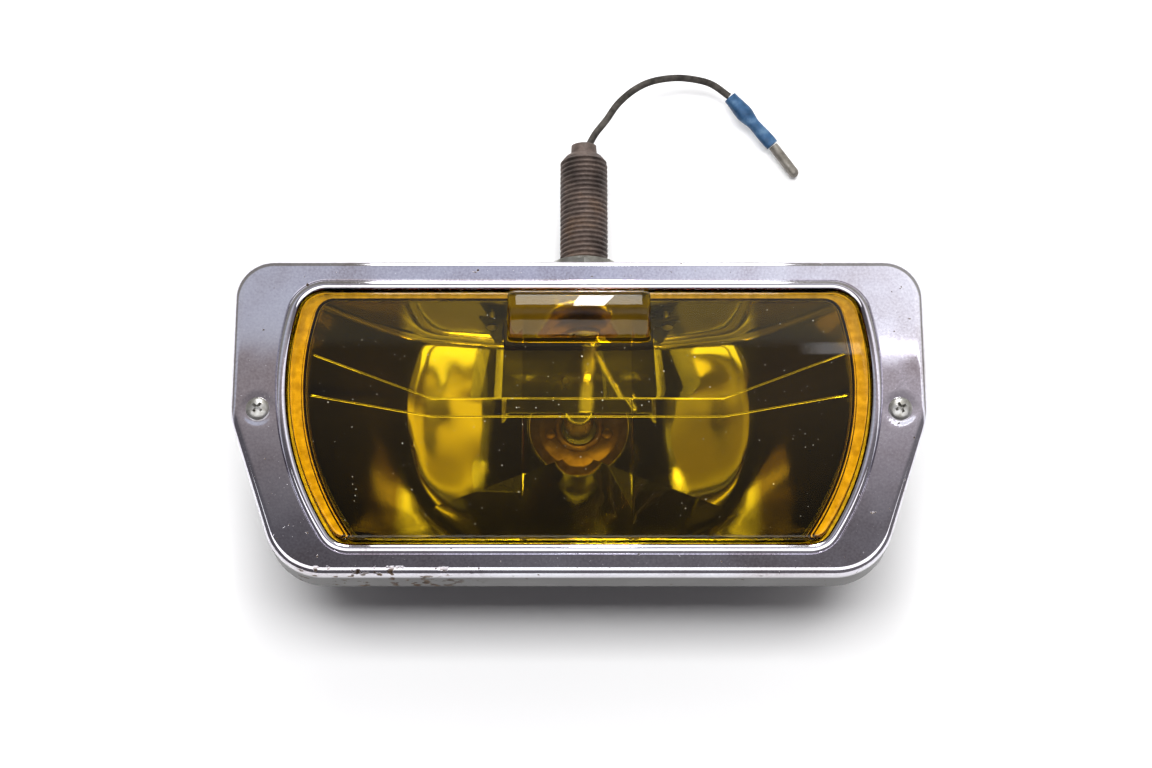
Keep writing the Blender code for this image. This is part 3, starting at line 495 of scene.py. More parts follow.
def chrome_look():
    made, tree, shader = material("worn_chrome", Metallic=1.0)
    haze = grain(tree, 70, 6)
    film = ramp(tree, haze, (0.32, (0.50, 0.46, 0.49)), (0.5, (0.62, 0.60, 0.66)),
                (0.7, (0.70, 0.70, 0.76)))
    mottle = grain(tree, 1700, 3, offset=0.2)
    film = mix(tree, window(tree, mottle, 0.25, 1.3), film, (0.93, 0.93, 0.97))
    specks = window(tree, grain(tree, 620, 2), 0.735, 0.76)
    fine = window(tree, grain(tree, 1900, 1, offset=0.3), 0.78, 0.81)
    pits = maths(tree, "MAXIMUM", specks, fine)
    xyz = add(tree, "SeparateXYZ", {0: place_of(tree)}).outputs
    foot = window(tree, xyz[1], -35.6 * MM, -36.6 * MM)
    left = window(tree, xyz[0], -20 * MM, -36 * MM)
    low_left = maths(tree, "MULTIPLY", foot, left)
    blisters = window(tree, grain(tree, 420, 4, offset=0.7), 0.57, 0.63)
    rust = maths(tree, "MULTIPLY", low_left, blisters)
    marks = maths(tree, "MAXIMUM", pits, rust)
    stain = ramp(tree, grain(tree, 900, 3), (0.3, (0.06, 0.04, 0.03)), (0.7, (0.26, 0.20, 0.15)))
    # Painted shade: the skirt below the front face turns dark and dull, standing for the shadow that
    # it mirrors.
    painted_skirt_shade = window(tree, xyz[2], FRONT - 2.4 * MM, FRONT - 4.2 * MM)
    film = mix(tree, painted_skirt_shade, film, (0.085, 0.082, 0.080))
    film_rough = maths(tree, "ADD", window(tree, haze, 0.1, 9.0), maths(tree, "MULTIPLY", painted_skirt_shade, 0.3))
    rough = maths(tree, "ADD", film_rough, maths(tree, "MULTIPLY", marks, 0.5))
    feed(tree, shader, Base_Color=mix(tree, marks, film, stain), Roughness=rough)
    bump(tree, shader, maths(tree, "SUBTRACT", 1.0, marks), 0.05 * MM)
    return made


def glass_look():
    made, tree, shader = material(
        "yellow_glass", Base_Color=(1, 1, 1, 1), Transmission_Weight=1.0, IOR=1.51
    )
    wear = window(tree, grain(tree, 1500, 2), 0.60, 0.90)
    feed(tree, shader, Roughness=maths(tree, "MULTIPLY", wear, 0.05))
    bath = add(tree, "VolumeAbsorption", {"Color": (0.970, 0.885, 0.0, 1), "Density": 460.0})
    tree.links.new(bath.outputs[0], tree.nodes["Material Output"].inputs["Volume"])
    let_lamps_through(tree, shader)
    return made


def let_lamps_through(tree, shader):
    """Shadow rays pass the glass, so lamps light what lies under it."""
    ray = add(tree, "LightPath").outputs["Is Shadow Ray"]
    clear = add(tree, "BsdfTransparent").outputs[0]
    both = add(tree, "MixShader", {0: ray, 1: shader.outputs[0], 2: clear}).outputs[0]
    tree.links.new(both, tree.nodes["Material Output"].inputs["Surface"])


def clear_glass_look():
    made, tree, shader = material(
        "clear_glass", Base_Color=(0.97, 0.98, 0.97, 1), Transmission_Weight=1.0, IOR=1.46
    )
    feed(tree, shader, Roughness=window(tree, grain(tree, 500, 2), 0.5, 3.0))
    return made


def metal_look(name, dark, bright, rough, scale, depth=0.0, metallic=1.0):
    """A metal whose colour and gloss vary with one noise. rough is its lowest and highest."""
    made, tree, shader = material(name, Metallic=metallic)
    pattern = grain(tree, scale, 6)
    feed(tree, shader, Base_Color=ramp(tree, pattern, (0.35, dark), (0.65, bright)))
    low, high = rough
    spread = add(tree, "MapRange", {"Value": pattern, "From Min": 0.3, "From Max": 0.7,
                                    "To Min": high, "To Max": low}, clamp=True)
    feed(tree, shader, Roughness=spread.outputs[0])
    if depth:
        bump(tree, shader, grain(tree, scale * 6, 3), depth)
    return made


def mirror_look():
    """A silvered bowl with painted shade towards both ends, where it turns dark brown for the dark it
    mirrors there.
    """
    made, tree, shader = material("bowl_mirror", Metallic=1.0)
    haze = grain(tree, 45, 6)
    silver = ramp(tree, haze, (0.35, (0.80, 0.79, 0.75)), (0.65, (0.92, 0.91, 0.88)))
    across = add(tree, "SeparateXYZ", {0: place_of(tree)}).outputs[0]
    # Painted shade: the silver darkens to brown beyond about 41 mm from the middle on both sides.
    ends = window(tree, maths(tree, "ABSOLUTE", across), 41 * MM, 43.5 * MM)
    feed(tree, shader, Base_Color=mix(tree, ends, silver, (0.30, 0.245, 0.17)),
         Roughness=window(tree, haze, -0.4, 11.0))
    return made


def hood_look():
    """Blackened steel with a painted highlight along the crease: bright metal colour that stands for
    the light the crease catches.
    """
    made, tree, shader = material("dark_steel", Metallic=1.0)
    patches = grain(tree, 90, 6)
    coat = ramp(tree, patches, (0.35, (0.035, 0.035, 0.03)), (0.65, (0.075, 0.075, 0.065)))
    # Painted highlight: bright streaks along the crease stand for the light the crease catches.
    glint_zone = add(tree, "Attribute", attribute_name="crease_glint").outputs["Fac"]
    glint_streaks = window(tree, grain(tree, 260, 4, (1, 0.15, 1)), 0.2, 0.6)
    painted_glint = maths(tree, "MULTIPLY", glint_zone, glint_streaks)
    feed(tree, shader, Base_Color=mix(tree, painted_glint, coat, (0.85, 0.84, 0.80)),
         Roughness=window(tree, patches, 0.1, 2.2))
    return made


def stud_look():
    made, tree, shader = material("oxidised_steel", Metallic=0.55)
    patches = grain(tree, 130, 5)
    brown = ramp(tree, patches, (0.35, (0.105, 0.085, 0.078)), (0.55, (0.21, 0.165, 0.145)),
                 (0.72, (0.25, 0.17, 0.12)))
    dirt = window(tree, grain(tree, 1100, 4), 0.35, 0.7)
    feed(tree, shader, Base_Color=mix(tree, maths(tree, "MULTIPLY", dirt, 0.45), brown,
                                      (0.055, 0.045, 0.038)))
    feed(tree, shader, Roughness=window(tree, patches, -0.6, 1.3))
    bump(tree, shader, dirt, 0.04 * MM)
    return made


def rubber_look(name, dark, bright, depth=0.03 * MM):
    made, tree, shader = material(name, Specular_IOR_Level=0.35)
    pattern = grain(tree, 500, 5)
    feed(tree, shader, Base_Color=ramp(tree, pattern, (0.35, dark), (0.7, bright)),
         Roughness=window(tree, pattern, -1.2, 1.1))
    bump(tree, shader, pattern, depth)
    return made


def sleeve_look():
    made, tree, shader = material("blue_plastic", Specular_IOR_Level=0.5)
    wear = grain(tree, 420, 5)
    blue = ramp(tree, wear, (0.3, (0.02, 0.055, 0.11)), (0.52, (0.035, 0.095, 0.19)),
                (0.75, (0.10, 0.18, 0.28)))
    feed(tree, shader, Base_Color=blue, Roughness=window(tree, wear, -0.3, 1.6))
    bump(tree, shader, grain(tree, 1500, 3), 0.03 * MM)
    return made


def paint_look():
    made, tree, shader = material("black_paint", Specular_IOR_Level=0.5)
    dust = grain(tree, 60, 6)
    chips = window(tree, grain(tree, 420, 4, offset=0.4), 0.70, 0.74)
    coat = ramp(tree, dust, (0.35, (0.012, 0.012, 0.013)), (0.72, (0.05, 0.048, 0.045)))
    feed(tree, shader, Base_Color=mix(tree, chips, coat, (0.13, 0.075, 0.045)),
         Roughness=window(tree, dust, -0.2, 1.2))
    bump(tree, shader, grain(tree, 1300, 3), 0.03 * MM)
    return made


CHROME = chrome_look()
YELLOW_GLASS = glass_look()
CLEAR_GLASS = clear_glass_look()
MIRROR = mirror_look()
TIN = metal_look("bulb_tin", (0.55, 0.54, 0.50), (0.75, 0.74, 0.70), (0.25, 0.45), 300)
ZINC = metal_look("zinc", (0.33, 0.32, 0.29), (0.55, 0.55, 0.52), (0.30, 0.55), 240, 0.02 * MM)
SCREW_STEEL = metal_look("screw_steel", (0.40, 0.39, 0.36), (0.62, 0.62, 0.61), (0.30, 0.46), 700,
                         0.02 * MM)
HOOD_STEEL = hood_look()
SPRING = metal_look("spring_steel", (0.16, 0.16, 0.17), (0.34, 0.33, 0.33), (0.28, 0.45), 400)
COPPER = metal_look("copper_steel", (0.19, 0.115, 0.06), (0.36, 0.235, 0.13), (0.26, 0.48), 160,
                    0.02 * MM)
BRASS = metal_look("brass", (0.42, 0.30, 0.11), (0.66, 0.50, 0.22), (0.24, 0.45), 300)
PIN_METAL = metal_look("pin_metal", (0.17, 0.155, 0.135), (0.31, 0.29, 0.26), (0.35, 0.6), 500,
                       0.03 * MM, metallic=0.6)
OXIDISED = stud_look()
RUBBER = rubber_look("rubber", (0.012, 0.012, 0.012), (0.035, 0.034, 0.032))
CORK = rubber_look("gasket_cork", (0.40, 0.34, 0.24), (0.66, 0.60, 0.50))
INSULATION = rubber_look("wire_insulation", (0.028, 0.025, 0.022), (0.10, 0.09, 0.08), 0.02 * MM)
BLUE_PLASTIC = sleeve_look()
BLACK_PAINT = paint_look()
DUST = rubber_look("dust", (0.45, 0.42, 0.34), (0.85, 0.82, 0.72))


# ---- cord


def smooth_path(points, pieces):
    """Points on a Catmull-Rom curve through a route."""
    route = [Vector(p) for p in points]
    route = [route[0] * 2 - route[1], *route, route[-1] * 2 - route[-2]]
    found = []
    for a, b, c, d in zip(route, route[1:], route[2:], route[3:]):
        for k in range(pieces):
            t = k / pieces
            found.append(
                0.5 * (2 * b + (c - a) * t + (2 * a - 5 * b + 4 * c - d) * t**2
                       + (3 * b - a - 3 * c + d) * t**3)
            )
    return [*found, route[-2]]


def tube(name, points, radius, look, resolution=6):
    curve = bpy.data.curves.new(name, "CURVE")
    curve.dimensions = "3D"
    curve.bevel_depth = radius
    curve.bevel_resolution = resolution
    curve.use_fill_caps = True
    spline = curve.splines.new("POLY")
    spline.points.add(len(points) - 1)
    spline.use_smooth = True
    for control, point in zip(spline.points, points):
        control.co = (*point, 1.0)
    curve.materials.append(look)
    return placed(name, curve)


def length_of(points):
    return sum((b - a).length for a, b in zip(points, points[1:]))


def oval_along(name, start, end, sections, look, count=48):
    """A closed body along a line. A section is (share of the length, half width, half height)."""
    start, end = Vector(start), Vector(end)
    axis = (end - start).normalized()
    across = axis.cross(Vector((0, 0, 1))).normalized()
    up = across.cross(axis)
    rows = []
    for share, wide, tall in sections:
        middle = start.lerp(end, share)
        turn = [2 * pi * k / count for k in range(count)]
        rows.append([middle + across * wide * cos(a) + up * tall * sin(a) for a in turn])
    return loft(name, rows, look, (True, True), smooth_angle=50.0)


def supply_cord():
    path = smooth_path([Vector(p) * MM for p in WIRE_ROUTE_MM], 6)
    wire = tube("wire", path, WIRE_RADIUS - 0.02 * MM, INSULATION)
    finish(wire, "stud", "black_wire", "supply_wire")

    start, joint = path[-1], Vector(SLEEVE_END_MM) * MM
    along = (joint - start).normalized()
    crimped = smooth_path(SLEEVE_SECTIONS_MM, 5)
    sections = [(0.0, 1.15, 1.05), (0.0, 1.6, 1.4), *crimped, (1.0, 1.4, 1.2)]
    sections = [(share, wide * MM, tall * MM) for share, wide, tall in sections]
    sleeve = oval_along("crimp_sleeve", start + along * GAP, joint, sections, BLUE_PLASTIC)
    finish(sleeve, "stud", "blue_plastic", "connector_sleeve")

    tip = Vector(PIN_END_MM) * MM
    length = (tip - joint).length
    radius = 1.3 * MM
    profile = [(0.03, 0.93 * radius), (0.05, radius), (0.5, radius)]
    profile += [(1 - (1 - s) * radius / length, radius * c) for s, c in quarter_turn(9)[:-1]]
    pin = oval_along("bullet_pin", joint, tip, [(t, r, r) for t, r in profile], PIN_METAL, 36)
    finish(pin, "stud", "old_steel", "connector_pin")
    tuple(path[0])
    length_of(path)


# ---- front unit


def bezel():
    rows = [at_height(bezel_outline(), z) for z in (SKIRT_Z, SKIRT_Z + 0.5 * MM, FRONT - 6 * MM)]
    for s, c in quarter_turn(10):
        rows.append(at_height(bezel_outline(ROLL * (1 - c)), FRONT - ROLL * (1 - s)))
    outer, inner = bezel_outline(ROLL), opening_outline(2.9 * MM)
    for k in range(1, 15):
        rows.append(at_height(between(outer, inner, k / 14), FRONT))
    step = 0.3 * MM
    rows.append(opening_row(FRONT - 0.5 * step, 2.75 * MM))
    rows.append(opening_row(FRONT - step, 2.6 * MM))
    for k in range(13):
        a = pi * k / 12
        rows.append(opening_row(FRONT - step + 0.75 * MM * sin(a), 1.45 * MM + 1.15 * MM * cos(a)))
    rows.append(opening_row(FRONT - 1.2 * MM, 0.22 * MM))
    rows.append(opening_row(FRONT - LIP_DEPTH, 0.05 * MM))
    dented = []
    for row in rows:
        dented.append([(x, y, z - dimple(x, y, z) + ripple(x, y)) for x, y, z in row])
    frame_piece = loft("chrome_bezel", dented, CHROME, smooth_angle=30.0)
    thicken(frame_piece, SHEET)
    for side in (-1, 1):
        hole = rod("hole", (side * SCREW_X, SCREW_Y, FRONT - 4 * MM),
                   (side * SCREW_X, SCREW_Y, FRONT + 2 * MM), SCREW_SHANK_RADIUS + GAP)
        combine(frame_piece, hole)
    finish(frame_piece, "front_unit", "chrome", "bezel")


def dimple(x, y, z):
    """The pressed seat round each screw, on the flat face only."""
    if z < FRONT - 0.1 * MM:
        return 0.0
    away = hypot(abs(x) - SCREW_X, y - SCREW_Y)
    return 0.03 * MM * (1 - ease(away, 2.9 * MM, 4.2 * MM))


def ripple(x, y):
    """The slight unevenness of a pressed and polished sheet."""
    return 0.004 * MM * noise.noise(Vector((x * 45, y * 60, 0.4)))


def screws():
    seat, reach = FRONT - 0.02 * MM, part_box("bezel_screw_left")[0].z
    shank, head = SCREW_SHANK_RADIUS, SCREW_HEAD_RADIUS
    for side, word, turn in ((-1, "left", 50), (1, "right", 25)):
        middle = (side * SCREW_X, SCREW_Y, 0.0)
        profile = [(0.1 * MM, reach), (shank * 0.8, reach + 1.0 * MM)]
        groove = reach + 1.4 * MM
        while groove < FRONT - 5 * MM:
            profile += [(shank, groove), (shank * 0.82, groove + 0.25 * MM)]
            groove += 0.5 * MM
        edge = seat + 0.35 * MM
        profile += [(shank, seat), (head, seat), (head, edge)]
        profile += [(head * c, edge + 1.15 * MM * s) for s, c in quarter_turn(9)[1:-1]]
        screw = revolve(f"screw_{word}", profile, middle, (0, 0, 1), SCREW_STEEL, 40)
        for slot_turn in (radians(turn), radians(turn) + pi / 2 + SLOT_SKEW):
            combine(screw, wedge(middle, seat + 1.5 * MM, slot_turn))
        finish(screw, f"screw_{word}", "screw_steel", f"bezel_screw_{word}")


def wedge(middle, top, turn):
    """A cutter that tapers downwards, for one slot of a screw's cross."""
    bm = bmesh.new()
    for vert in bmesh.ops.create_cube(bm, size=1.0)["verts"]:
        deep = vert.co.z < 0
        x = vert.co.x * (1.3 if deep else 3.3) * MM
        y = vert.co.y * (0.45 if deep else 0.75) * MM
        vert.co = (
            middle[0] + x * cos(turn) - y * sin(turn),
            middle[1] + x * sin(turn) + y * cos(turn),
            top - (1.15 * MM if deep else -0.4 * MM),
        )
    return mesh_object("recess", bm)


# Moulded lines in the lens: two shallow V lines and two upright ones, as routes in millimetres.
V_LINES_MM = (
    ((-62.5, 15.3), (-34.0, 4.3), (33.3, 4.3), (61.8, 15.3)),
    ((-62.5, 5.2), (-34.0, 0.0), (33.3, 0.0), (61.8, 5.2)),
    ((-12.9, 16.0), (-12.9, -27.0)),
    ((12.2, 16.0), (12.2, -27.0)),
)
LINE_HALF_WIDTH = 0.19 * MM
LINE_HEIGHT = 0.20 * MM
UPRIGHT_LINE_HEIGHT = 0.05 * MM


def line_segments():
    for route in V_LINES_MM:
        points = [Vector(p) * MM for p in route]
        yield from zip(points, points[1:])


def line_rise(x, y):
    """Height of the moulded lines at a point: a rounded ridge along each segment."""
    here, most = Vector((x, y)), 0.0
    for start, end in line_segments():
        away = away_from(here, start, end) / LINE_HALF_WIDTH
        if away < 1.0:
            height = UPRIGHT_LINE_HEIGHT if start.x == end.x else LINE_HEIGHT
            most = max(most, height * sqrt(1.0 - away * away))
    return most


def score(bm, faces):
    """Cuts a flat face along both sides and the crest of each moulded line."""
    for start, end in line_segments():
        along = (end - start).normalized()
        across = Vector((-along.y, along.x, 0.0))
        for share in (-1.0, -0.85, -0.45, 0.0, 0.45, 0.85, 1.0):
            spot = Vector((start.x, start.y, 0.0)) + across * LINE_HALF_WIDTH * share
            parts = list({e for f in faces for e in f.edges} | {v for f in faces for v in f.verts})
            cut = bmesh.ops.bisect_plane(
                bm, geom=parts + list(faces), dist=1e-7, plane_co=spot, plane_no=across
            )
            faces = {g for g in cut["geom"] if isinstance(g, bmesh.types.BMFace)}
    return faces


def lens():
    ceiling, low = LENS_FRONT - LENS_THICKNESS, LENS_LOW.z
    rounding = 1.6 * MM
    # A narrow level ring keeps the normals of each flat face straight.
    level = 0.4 * MM
    shrink = rounding + level
    rows = [opening_row(ceiling, -LENS_SIDE_WALL - shrink, -LENS_FLAT_WALL - rounding * 0.6 - level)]
    for s, c in quarter_turn(8):
        inward, z = rounding * (1 - s), ceiling - rounding * (1 - c)
        rows.append(opening_row(z, -LENS_SIDE_WALL - inward, -LENS_FLAT_WALL - inward * 0.6))
    rows.append(opening_row(low, -LENS_SIDE_WALL + 0.4 * MM, -LENS_FLAT_WALL + 0.2 * MM))
    rows.append(opening_row(low, FLANGE_WIDTH))
    rows.append(opening_row(FLANGE_TOP, FLANGE_WIDTH))
    rows.append(opening_row(FLANGE_TOP + 0.3 * MM, -0.4 * MM))
    for s, c in quarter_turn(6):
        rows.append(opening_row(LENS_FRONT - LENS_EDGE * (1 - s), -0.4 * MM - LENS_EDGE * (1 - c)))
    rows.append(opening_row(LENS_FRONT, -0.4 * MM - LENS_EDGE - level))
    bm = bmesh.new()
    rings = fill_rings(bm, rows)
    inner_face = bm.faces.new(rings[0])
    bm.faces.new(tuple(reversed(rings[-1])))
    scored = score(bm, {inner_face})
    for vert in {v for f in scored for v in f.verts}:
        vert.co.z -= line_rise(vert.co.x, vert.co.y)
    bmesh.ops.recalc_face_normals(bm, faces=bm.faces)
    glass = mesh_object("yellow_lens", bm, YELLOW_GLASS, 25.0)
    combine(glass, raised_bar(), "UNION")
    shade(glass.data, 25.0)
    finish(glass, "front_unit", "yellow_glass", "lens")


def raised_bar():
    """A half-round bar along X whose ends are rounded over."""
    ends = ((0.0, 0.72), (0.15, 0.84), (0.5, 0.93), (1.1, 0.98), (2.2, 1.0))
    stations = [(-BAR_HALF_LENGTH + d * MM, s) for d, s in ends]
    stations += [(-x, s) for x, s in reversed(stations)]
    rows = []
    for x, share in stations:
        row = []
        for k in range(64):
            a = -2 * pi * k / 64
            y = BAR_Y + BAR_HALF_WIDTH * (0.5 + 0.5 * share) * cos(a)
            row.append((x, y, LENS_FRONT + BAR_HEIGHT * share * sin(a)))
        rows.append(row)
    return loft("bar", rows, YELLOW_GLASS, (True, True))


def seal_ring(name, outer, inner, low, high, look, body, slot, node):
    """A flat ring. Its walls have extra rows next to both faces."""
    edge = min(0.3 * MM, (high - low) / 3)
    levels = (low, low + edge, high - edge, high)
    rows = [at_height(inner, low)] + [at_height(outer, z) for z in levels]
    rows += [at_height(inner, z) for z in reversed(levels[1:])]
    finish(loft(name, rows, look, close=True), body, slot, node)


def bowl_reach(away_x, away_y, radius, draft):
    """Distance from the axis to the bowl's wall in one direction."""
    upward = away_y / hypot(away_x, away_y)
    if upward > 0:
        wall = BOWL_ROOF_Y - AXIS_Y - BOWL_ROOF_DRAFT * (1.0 - draft)
    else:
        wall = AXIS_Y - BOWL_FLOOR_Y - BOWL_FLOOR_DRAFT * (1.0 - draft)
    wall /= max(abs(upward), 1e-6)
    sharpness = 26.0
    return (radius**-sharpness + wall**-sharpness) ** (-1.0 / sharpness)


def bowl_height(radius, across, upward):
    """The bowl's profile in one direction: a shallow middle, then a steep outer zone.

    The middle is shallower along X than along Y. across and upward are the direction's parts.
    """
    bend = across**2 / (4 * BOWL_FOCUS_X) + upward**2 / (4 * BOWL_FOCUS_Y)
    past = radius - BOWL_STEP_RADIUS
    past = 0.5 * (past + hypot(past, BOWL_STEP_SOFTNESS))
    middle = ((radius - past) ** 2 - BOWL_HOLE_RADIUS**2) * bend
    outer = RIM_Z - APEX_Z - (BOWL_STEP_RADIUS**2 - BOWL_HOLE_RADIUS**2) * bend
    share = past / (BOWL_RIM_RADIUS - BOWL_STEP_RADIUS)
    return APEX_Z + middle + outer * share * (0.82 + 0.18 * share)


def bowl_wave(x, y):
    """The unevenness of a pressed bowl, which bends what it mirrors."""
    slow = noise.noise(Vector((x * 42, y * 42, 2.3)))
    slanted = noise.noise(Vector((x * 85 + y * 45, y * 60 - x * 20, 5.1)))
    quick = noise.noise(Vector((x * 190, y * 150, 7.9)))
    return 0.42 * MM * slow + 0.13 * MM * slanted + 0.03 * MM * quick


def reflector():
    rim = round_sided(BOWL_RIM_RADIUS, BOWL_ROOF_Y, BOWL_FLOOR_Y, 3.0 * MM, 3.0 * MM)
    rows = [at_height(opening_outline(1.3 * MM), RIM_Z)]
    count = 60
    for k in range(count + 1):
        share = 1.0 - k / count
        radius = BOWL_HOLE_RADIUS + (BOWL_RIM_RADIUS - BOWL_HOLE_RADIUS) * share
        calm = ease(1.0 - share, 0.0, 0.12) * ease(share, 0.0, 0.1)
        row = []
        for x, y in rim:
            away = hypot(x, y - AXIS_Y)
            reach = bowl_reach(x, y - AXIS_Y, radius, share)
            across, upward = x / away, (y - AXIS_Y) / away
            px, py = across * reach, AXIS_Y + upward * reach
            height = bowl_height(radius, across, upward)
            row.append((px, py, height + calm * bowl_wave(px, py)))
        rows.append(row)
    bowl = loft("mirror_bowl", rows, MIRROR, smooth_angle=50.0)
    thicken(bowl, BOWL_SHEET)
    finish(bowl, "front_unit", "bright_metal", "reflector")


def hood_crease(x, y):
    """1 along the shallow caret-shaped crease in the hood's plate, 0 away from it."""
    top, here, most = Vector((2.6 * MM, 21.4 * MM)), Vector((x, y)), 0.0
    for foot, half in (
        (Vector((1.6 * MM, 5.6 * MM)), 2.3 * MM),
        (Vector((13.0 * MM, 5.6 * MM)), 0.8 * MM),
    ):
        most = max(most, 1.0 - ease(away_from(here, top, foot) / half, 0.35, 1.0))
    return most


def hood():
    """A folded plate with a shallow rib, a wall down each side and an ear beside each wall."""
    w, low, high = HOOD_HALF_WIDTH, HOOD_LOW_Y, HOOD_HIGH_Y
    flare, ear = 1.4 * MM, 6.6 * MM
    bm = bmesh.new()
    columns, rows = 102, 66
    grid = []
    for j in range(rows + 1):
        y = low + (high - low) * j / rows
        xs = [-w + 2 * w * i / columns for i in range(columns + 1)]
        grid.append([bm.verts.new((x, y, HOOD_Z + 0.15 * MM * hood_crease(x, y))) for x in xs])
    for lower, upper in zip(grid, grid[1:]):
        for i in range(columns):
            bm.faces.new((lower[i], lower[i + 1], upper[i + 1], upper[i]))
    for side, edge in ((-1, 0), (1, columns)):
        back = []
        for j in range(rows + 1):
            share = j / rows
            z = HOOD_FOOT_Z + (HOOD_DEEP_Z - HOOD_FOOT_Z) * share
            back.append(bm.verts.new((side * (w + flare), low + (high - low) * share, z)))
        for j in range(rows):
            face = (grid[j][edge], back[j], back[j + 1], grid[j + 1][edge])
            bm.faces.new(face if side > 0 else tuple(reversed(face)))
        front = bm.verts.new((side * (w + ear), high, HOOD_Z + 3 * MM))
        deep = bm.verts.new((side * (w + 2 * MM), high, HOOD_DEEP_Z))
        flap = (grid[rows][edge], back[rows], deep, front)
        bm.faces.new(flap if side > 0 else tuple(reversed(flap)))
    plate = mesh_object("hood_plate", bm, HOOD_STEEL, 35.0)
    # Painted highlight: this attribute marks the crease that hood_look paints bright.
    crease_glint = plate.data.attributes.new("crease_glint", "FLOAT", "POINT")
    for vert, spot in zip(plate.data.vertices, crease_glint.data):
        x, y, z = vert.co
        spot.value = hood_crease(x, y) if abs(z - HOOD_Z) < MM else 0.0
    thicken(plate, HOOD_SHEET)
    round_edges(plate, 0.35 * MM, 3, 50)
    finish(plate, "front_unit", "dark_steel", "bulb_hood")


def soften(node, look, width=0.25 * MM):
    """Rounds a CAD node's edges and gives it its finish. The node itself isn't edited."""
    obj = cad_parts[node]
    weld = obj.modifiers.new("weld", "WELD")
    weld.merge_threshold = 0.005 * MM
    round_edges(obj, width, 2, 40).harden_normals = True
    paint(node, look)


def paint(node, look):
    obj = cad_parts[node]
    if not obj.material_slots:
        obj.data.materials.append(look)
    for slot in obj.material_slots:
        slot.material = look


def holder():
    """The pressed disc round the bulb, with a rolled collar and a shallow ring."""
    low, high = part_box("bulb_holder")
    radius = (high.x - low.x) / 2
    top, under = high.z, low.z
    profile = [
        (4.2 * MM, under), (radius, under), (radius, top), (10.5 * MM, top),
        (10.0 * MM, top - 0.2 * MM), (9.4 * MM, top - 0.2 * MM), (9.0 * MM, top), (6.0 * MM, top),
        (5.4 * MM, top + 0.9 * MM), (4.9 * MM, top + 1.1 * MM), (4.4 * MM, top + 0.9 * MM),
        (4.2 * MM, top + 0.4 * MM),
    ]
    disc = revolve("holder_disc", profile, (0, AXIS_Y, 0), (0, 0, 1), COPPER, 96, close=True)
    finish(disc, "front_unit", "copper_steel", "bulb_holder")
    for word in ("left", "right"):
        a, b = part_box(f"holder_rivet_{word}")
        wide, neck, crown = 1.4 * MM, 0.75 * MM, 0.65 * MM
        dome = [(0.6 * MM, a.z), (1.3 * MM, a.z + 0.3 * MM), (wide, a.z + crown)]
        dome += [(neck, a.z + 0.7 * MM), (neck, b.z - 0.7 * MM)]
        dome += [(wide * c, b.z - crown + crown * s) for s, c in quarter_turn(7)[:-1]]
        middle = ((a.x + b.x) / 2, (a.y + b.y) / 2, 0)
        rivet = revolve(f"holder_stud_{word}", dome, middle, (0, 0, 1), COPPER, 32)
        finish(rivet, "front_unit", "copper_steel", f"holder_rivet_{word}")


def bulb():
    """A small halogen capsule with a pinched foot, an upright coil and its two supports."""
    low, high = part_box("bulb_glass")
    radius, wall = (high.x - low.x) / 2, 0.7 * MM
    tip, foot = high.z, low.z
    shoulder = tip - radius
    nib, inner = 0.7 * MM, radius - wall
    outside = [(radius * 0.92, foot), (radius, foot + 2 * MM)]
    outside += arc((0.0, shoulder), radius, 0.0, pi / 2, 10)[:-1]
    outside += [(nib * 1.4, tip - 0.35 * MM), (nib, tip - 0.1 * MM), (nib * 0.35, tip)]
    inside = [(nib * 0.35, shoulder + inner * 0.99)]
    inside += reversed(arc((0.0, shoulder), inner, 0.0, pi / 2, 10))
    inside += [(inner * 0.92, foot)]
    profile = outside + inside
    capsule = revolve("bulb_capsule", profile, (0, AXIS_Y, 0), (0, 0, 1), CLEAR_GLASS, 48, close=True)
    finish(capsule, "front_unit", "clear_glass", "bulb_glass")
    coil_low, coil_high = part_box("bulb_filament")
    turns, coil_radius = 9, 0.55 * MM
    middle_z = coil_high.z - 0.7 * MM
    half = 1.5 * MM
    path = [Vector((-half, AXIS_Y, coil_low.z)), Vector((-half, AXIS_Y, middle_z))]
    for k in range(turns * 12 + 1):
        a = 2 * pi * k / 12
        x = -half * 0.85 + 2 * half * 0.85 * k / (turns * 12)
        path.append(Vector((x, AXIS_Y + coil_radius * sin(a), middle_z + coil_radius * cos(a))))
    path += [Vector((half, AXIS_Y, middle_z)), Vector((half, AXIS_Y, coil_low.z))]
    coil = tube("bulb_coil", path, 0.11 * MM, SPRING, 3)
    finish(coil, "front_unit", "spring_steel", "bulb_filament")


# ---- housing and swivel


def housing_outline(share):
    """The bucket's outline: share 1 is the rim and 0 the back. The top stays upright."""
    return kite_sided(
        (65.0 + 12.3 * share) * MM,
        (65.0 + 13.3 * share) * MM,
        (55.0 + 11.3 * share) * MM,
        HOUSING_TOP_Y,
        -(23.0 + 12.6 * share) * MM,
        (7.5 * MM, WAIST_CORNER, 11.0 * MM),
    )


def shrunk(outline, amount):
    """Pulls an outline towards its middle line, for a rounded back edge."""
    ys = [y for _, y in outline]
    middle = (max(ys) + min(ys)) / 2
    wide, tall = max(abs(x) for x, _ in outline), (max(ys) - min(ys)) / 2
    return [
        (x * (1 - amount / wide), middle + (y - middle) * (1 - amount / tall))
        for x, y in outline
    ]


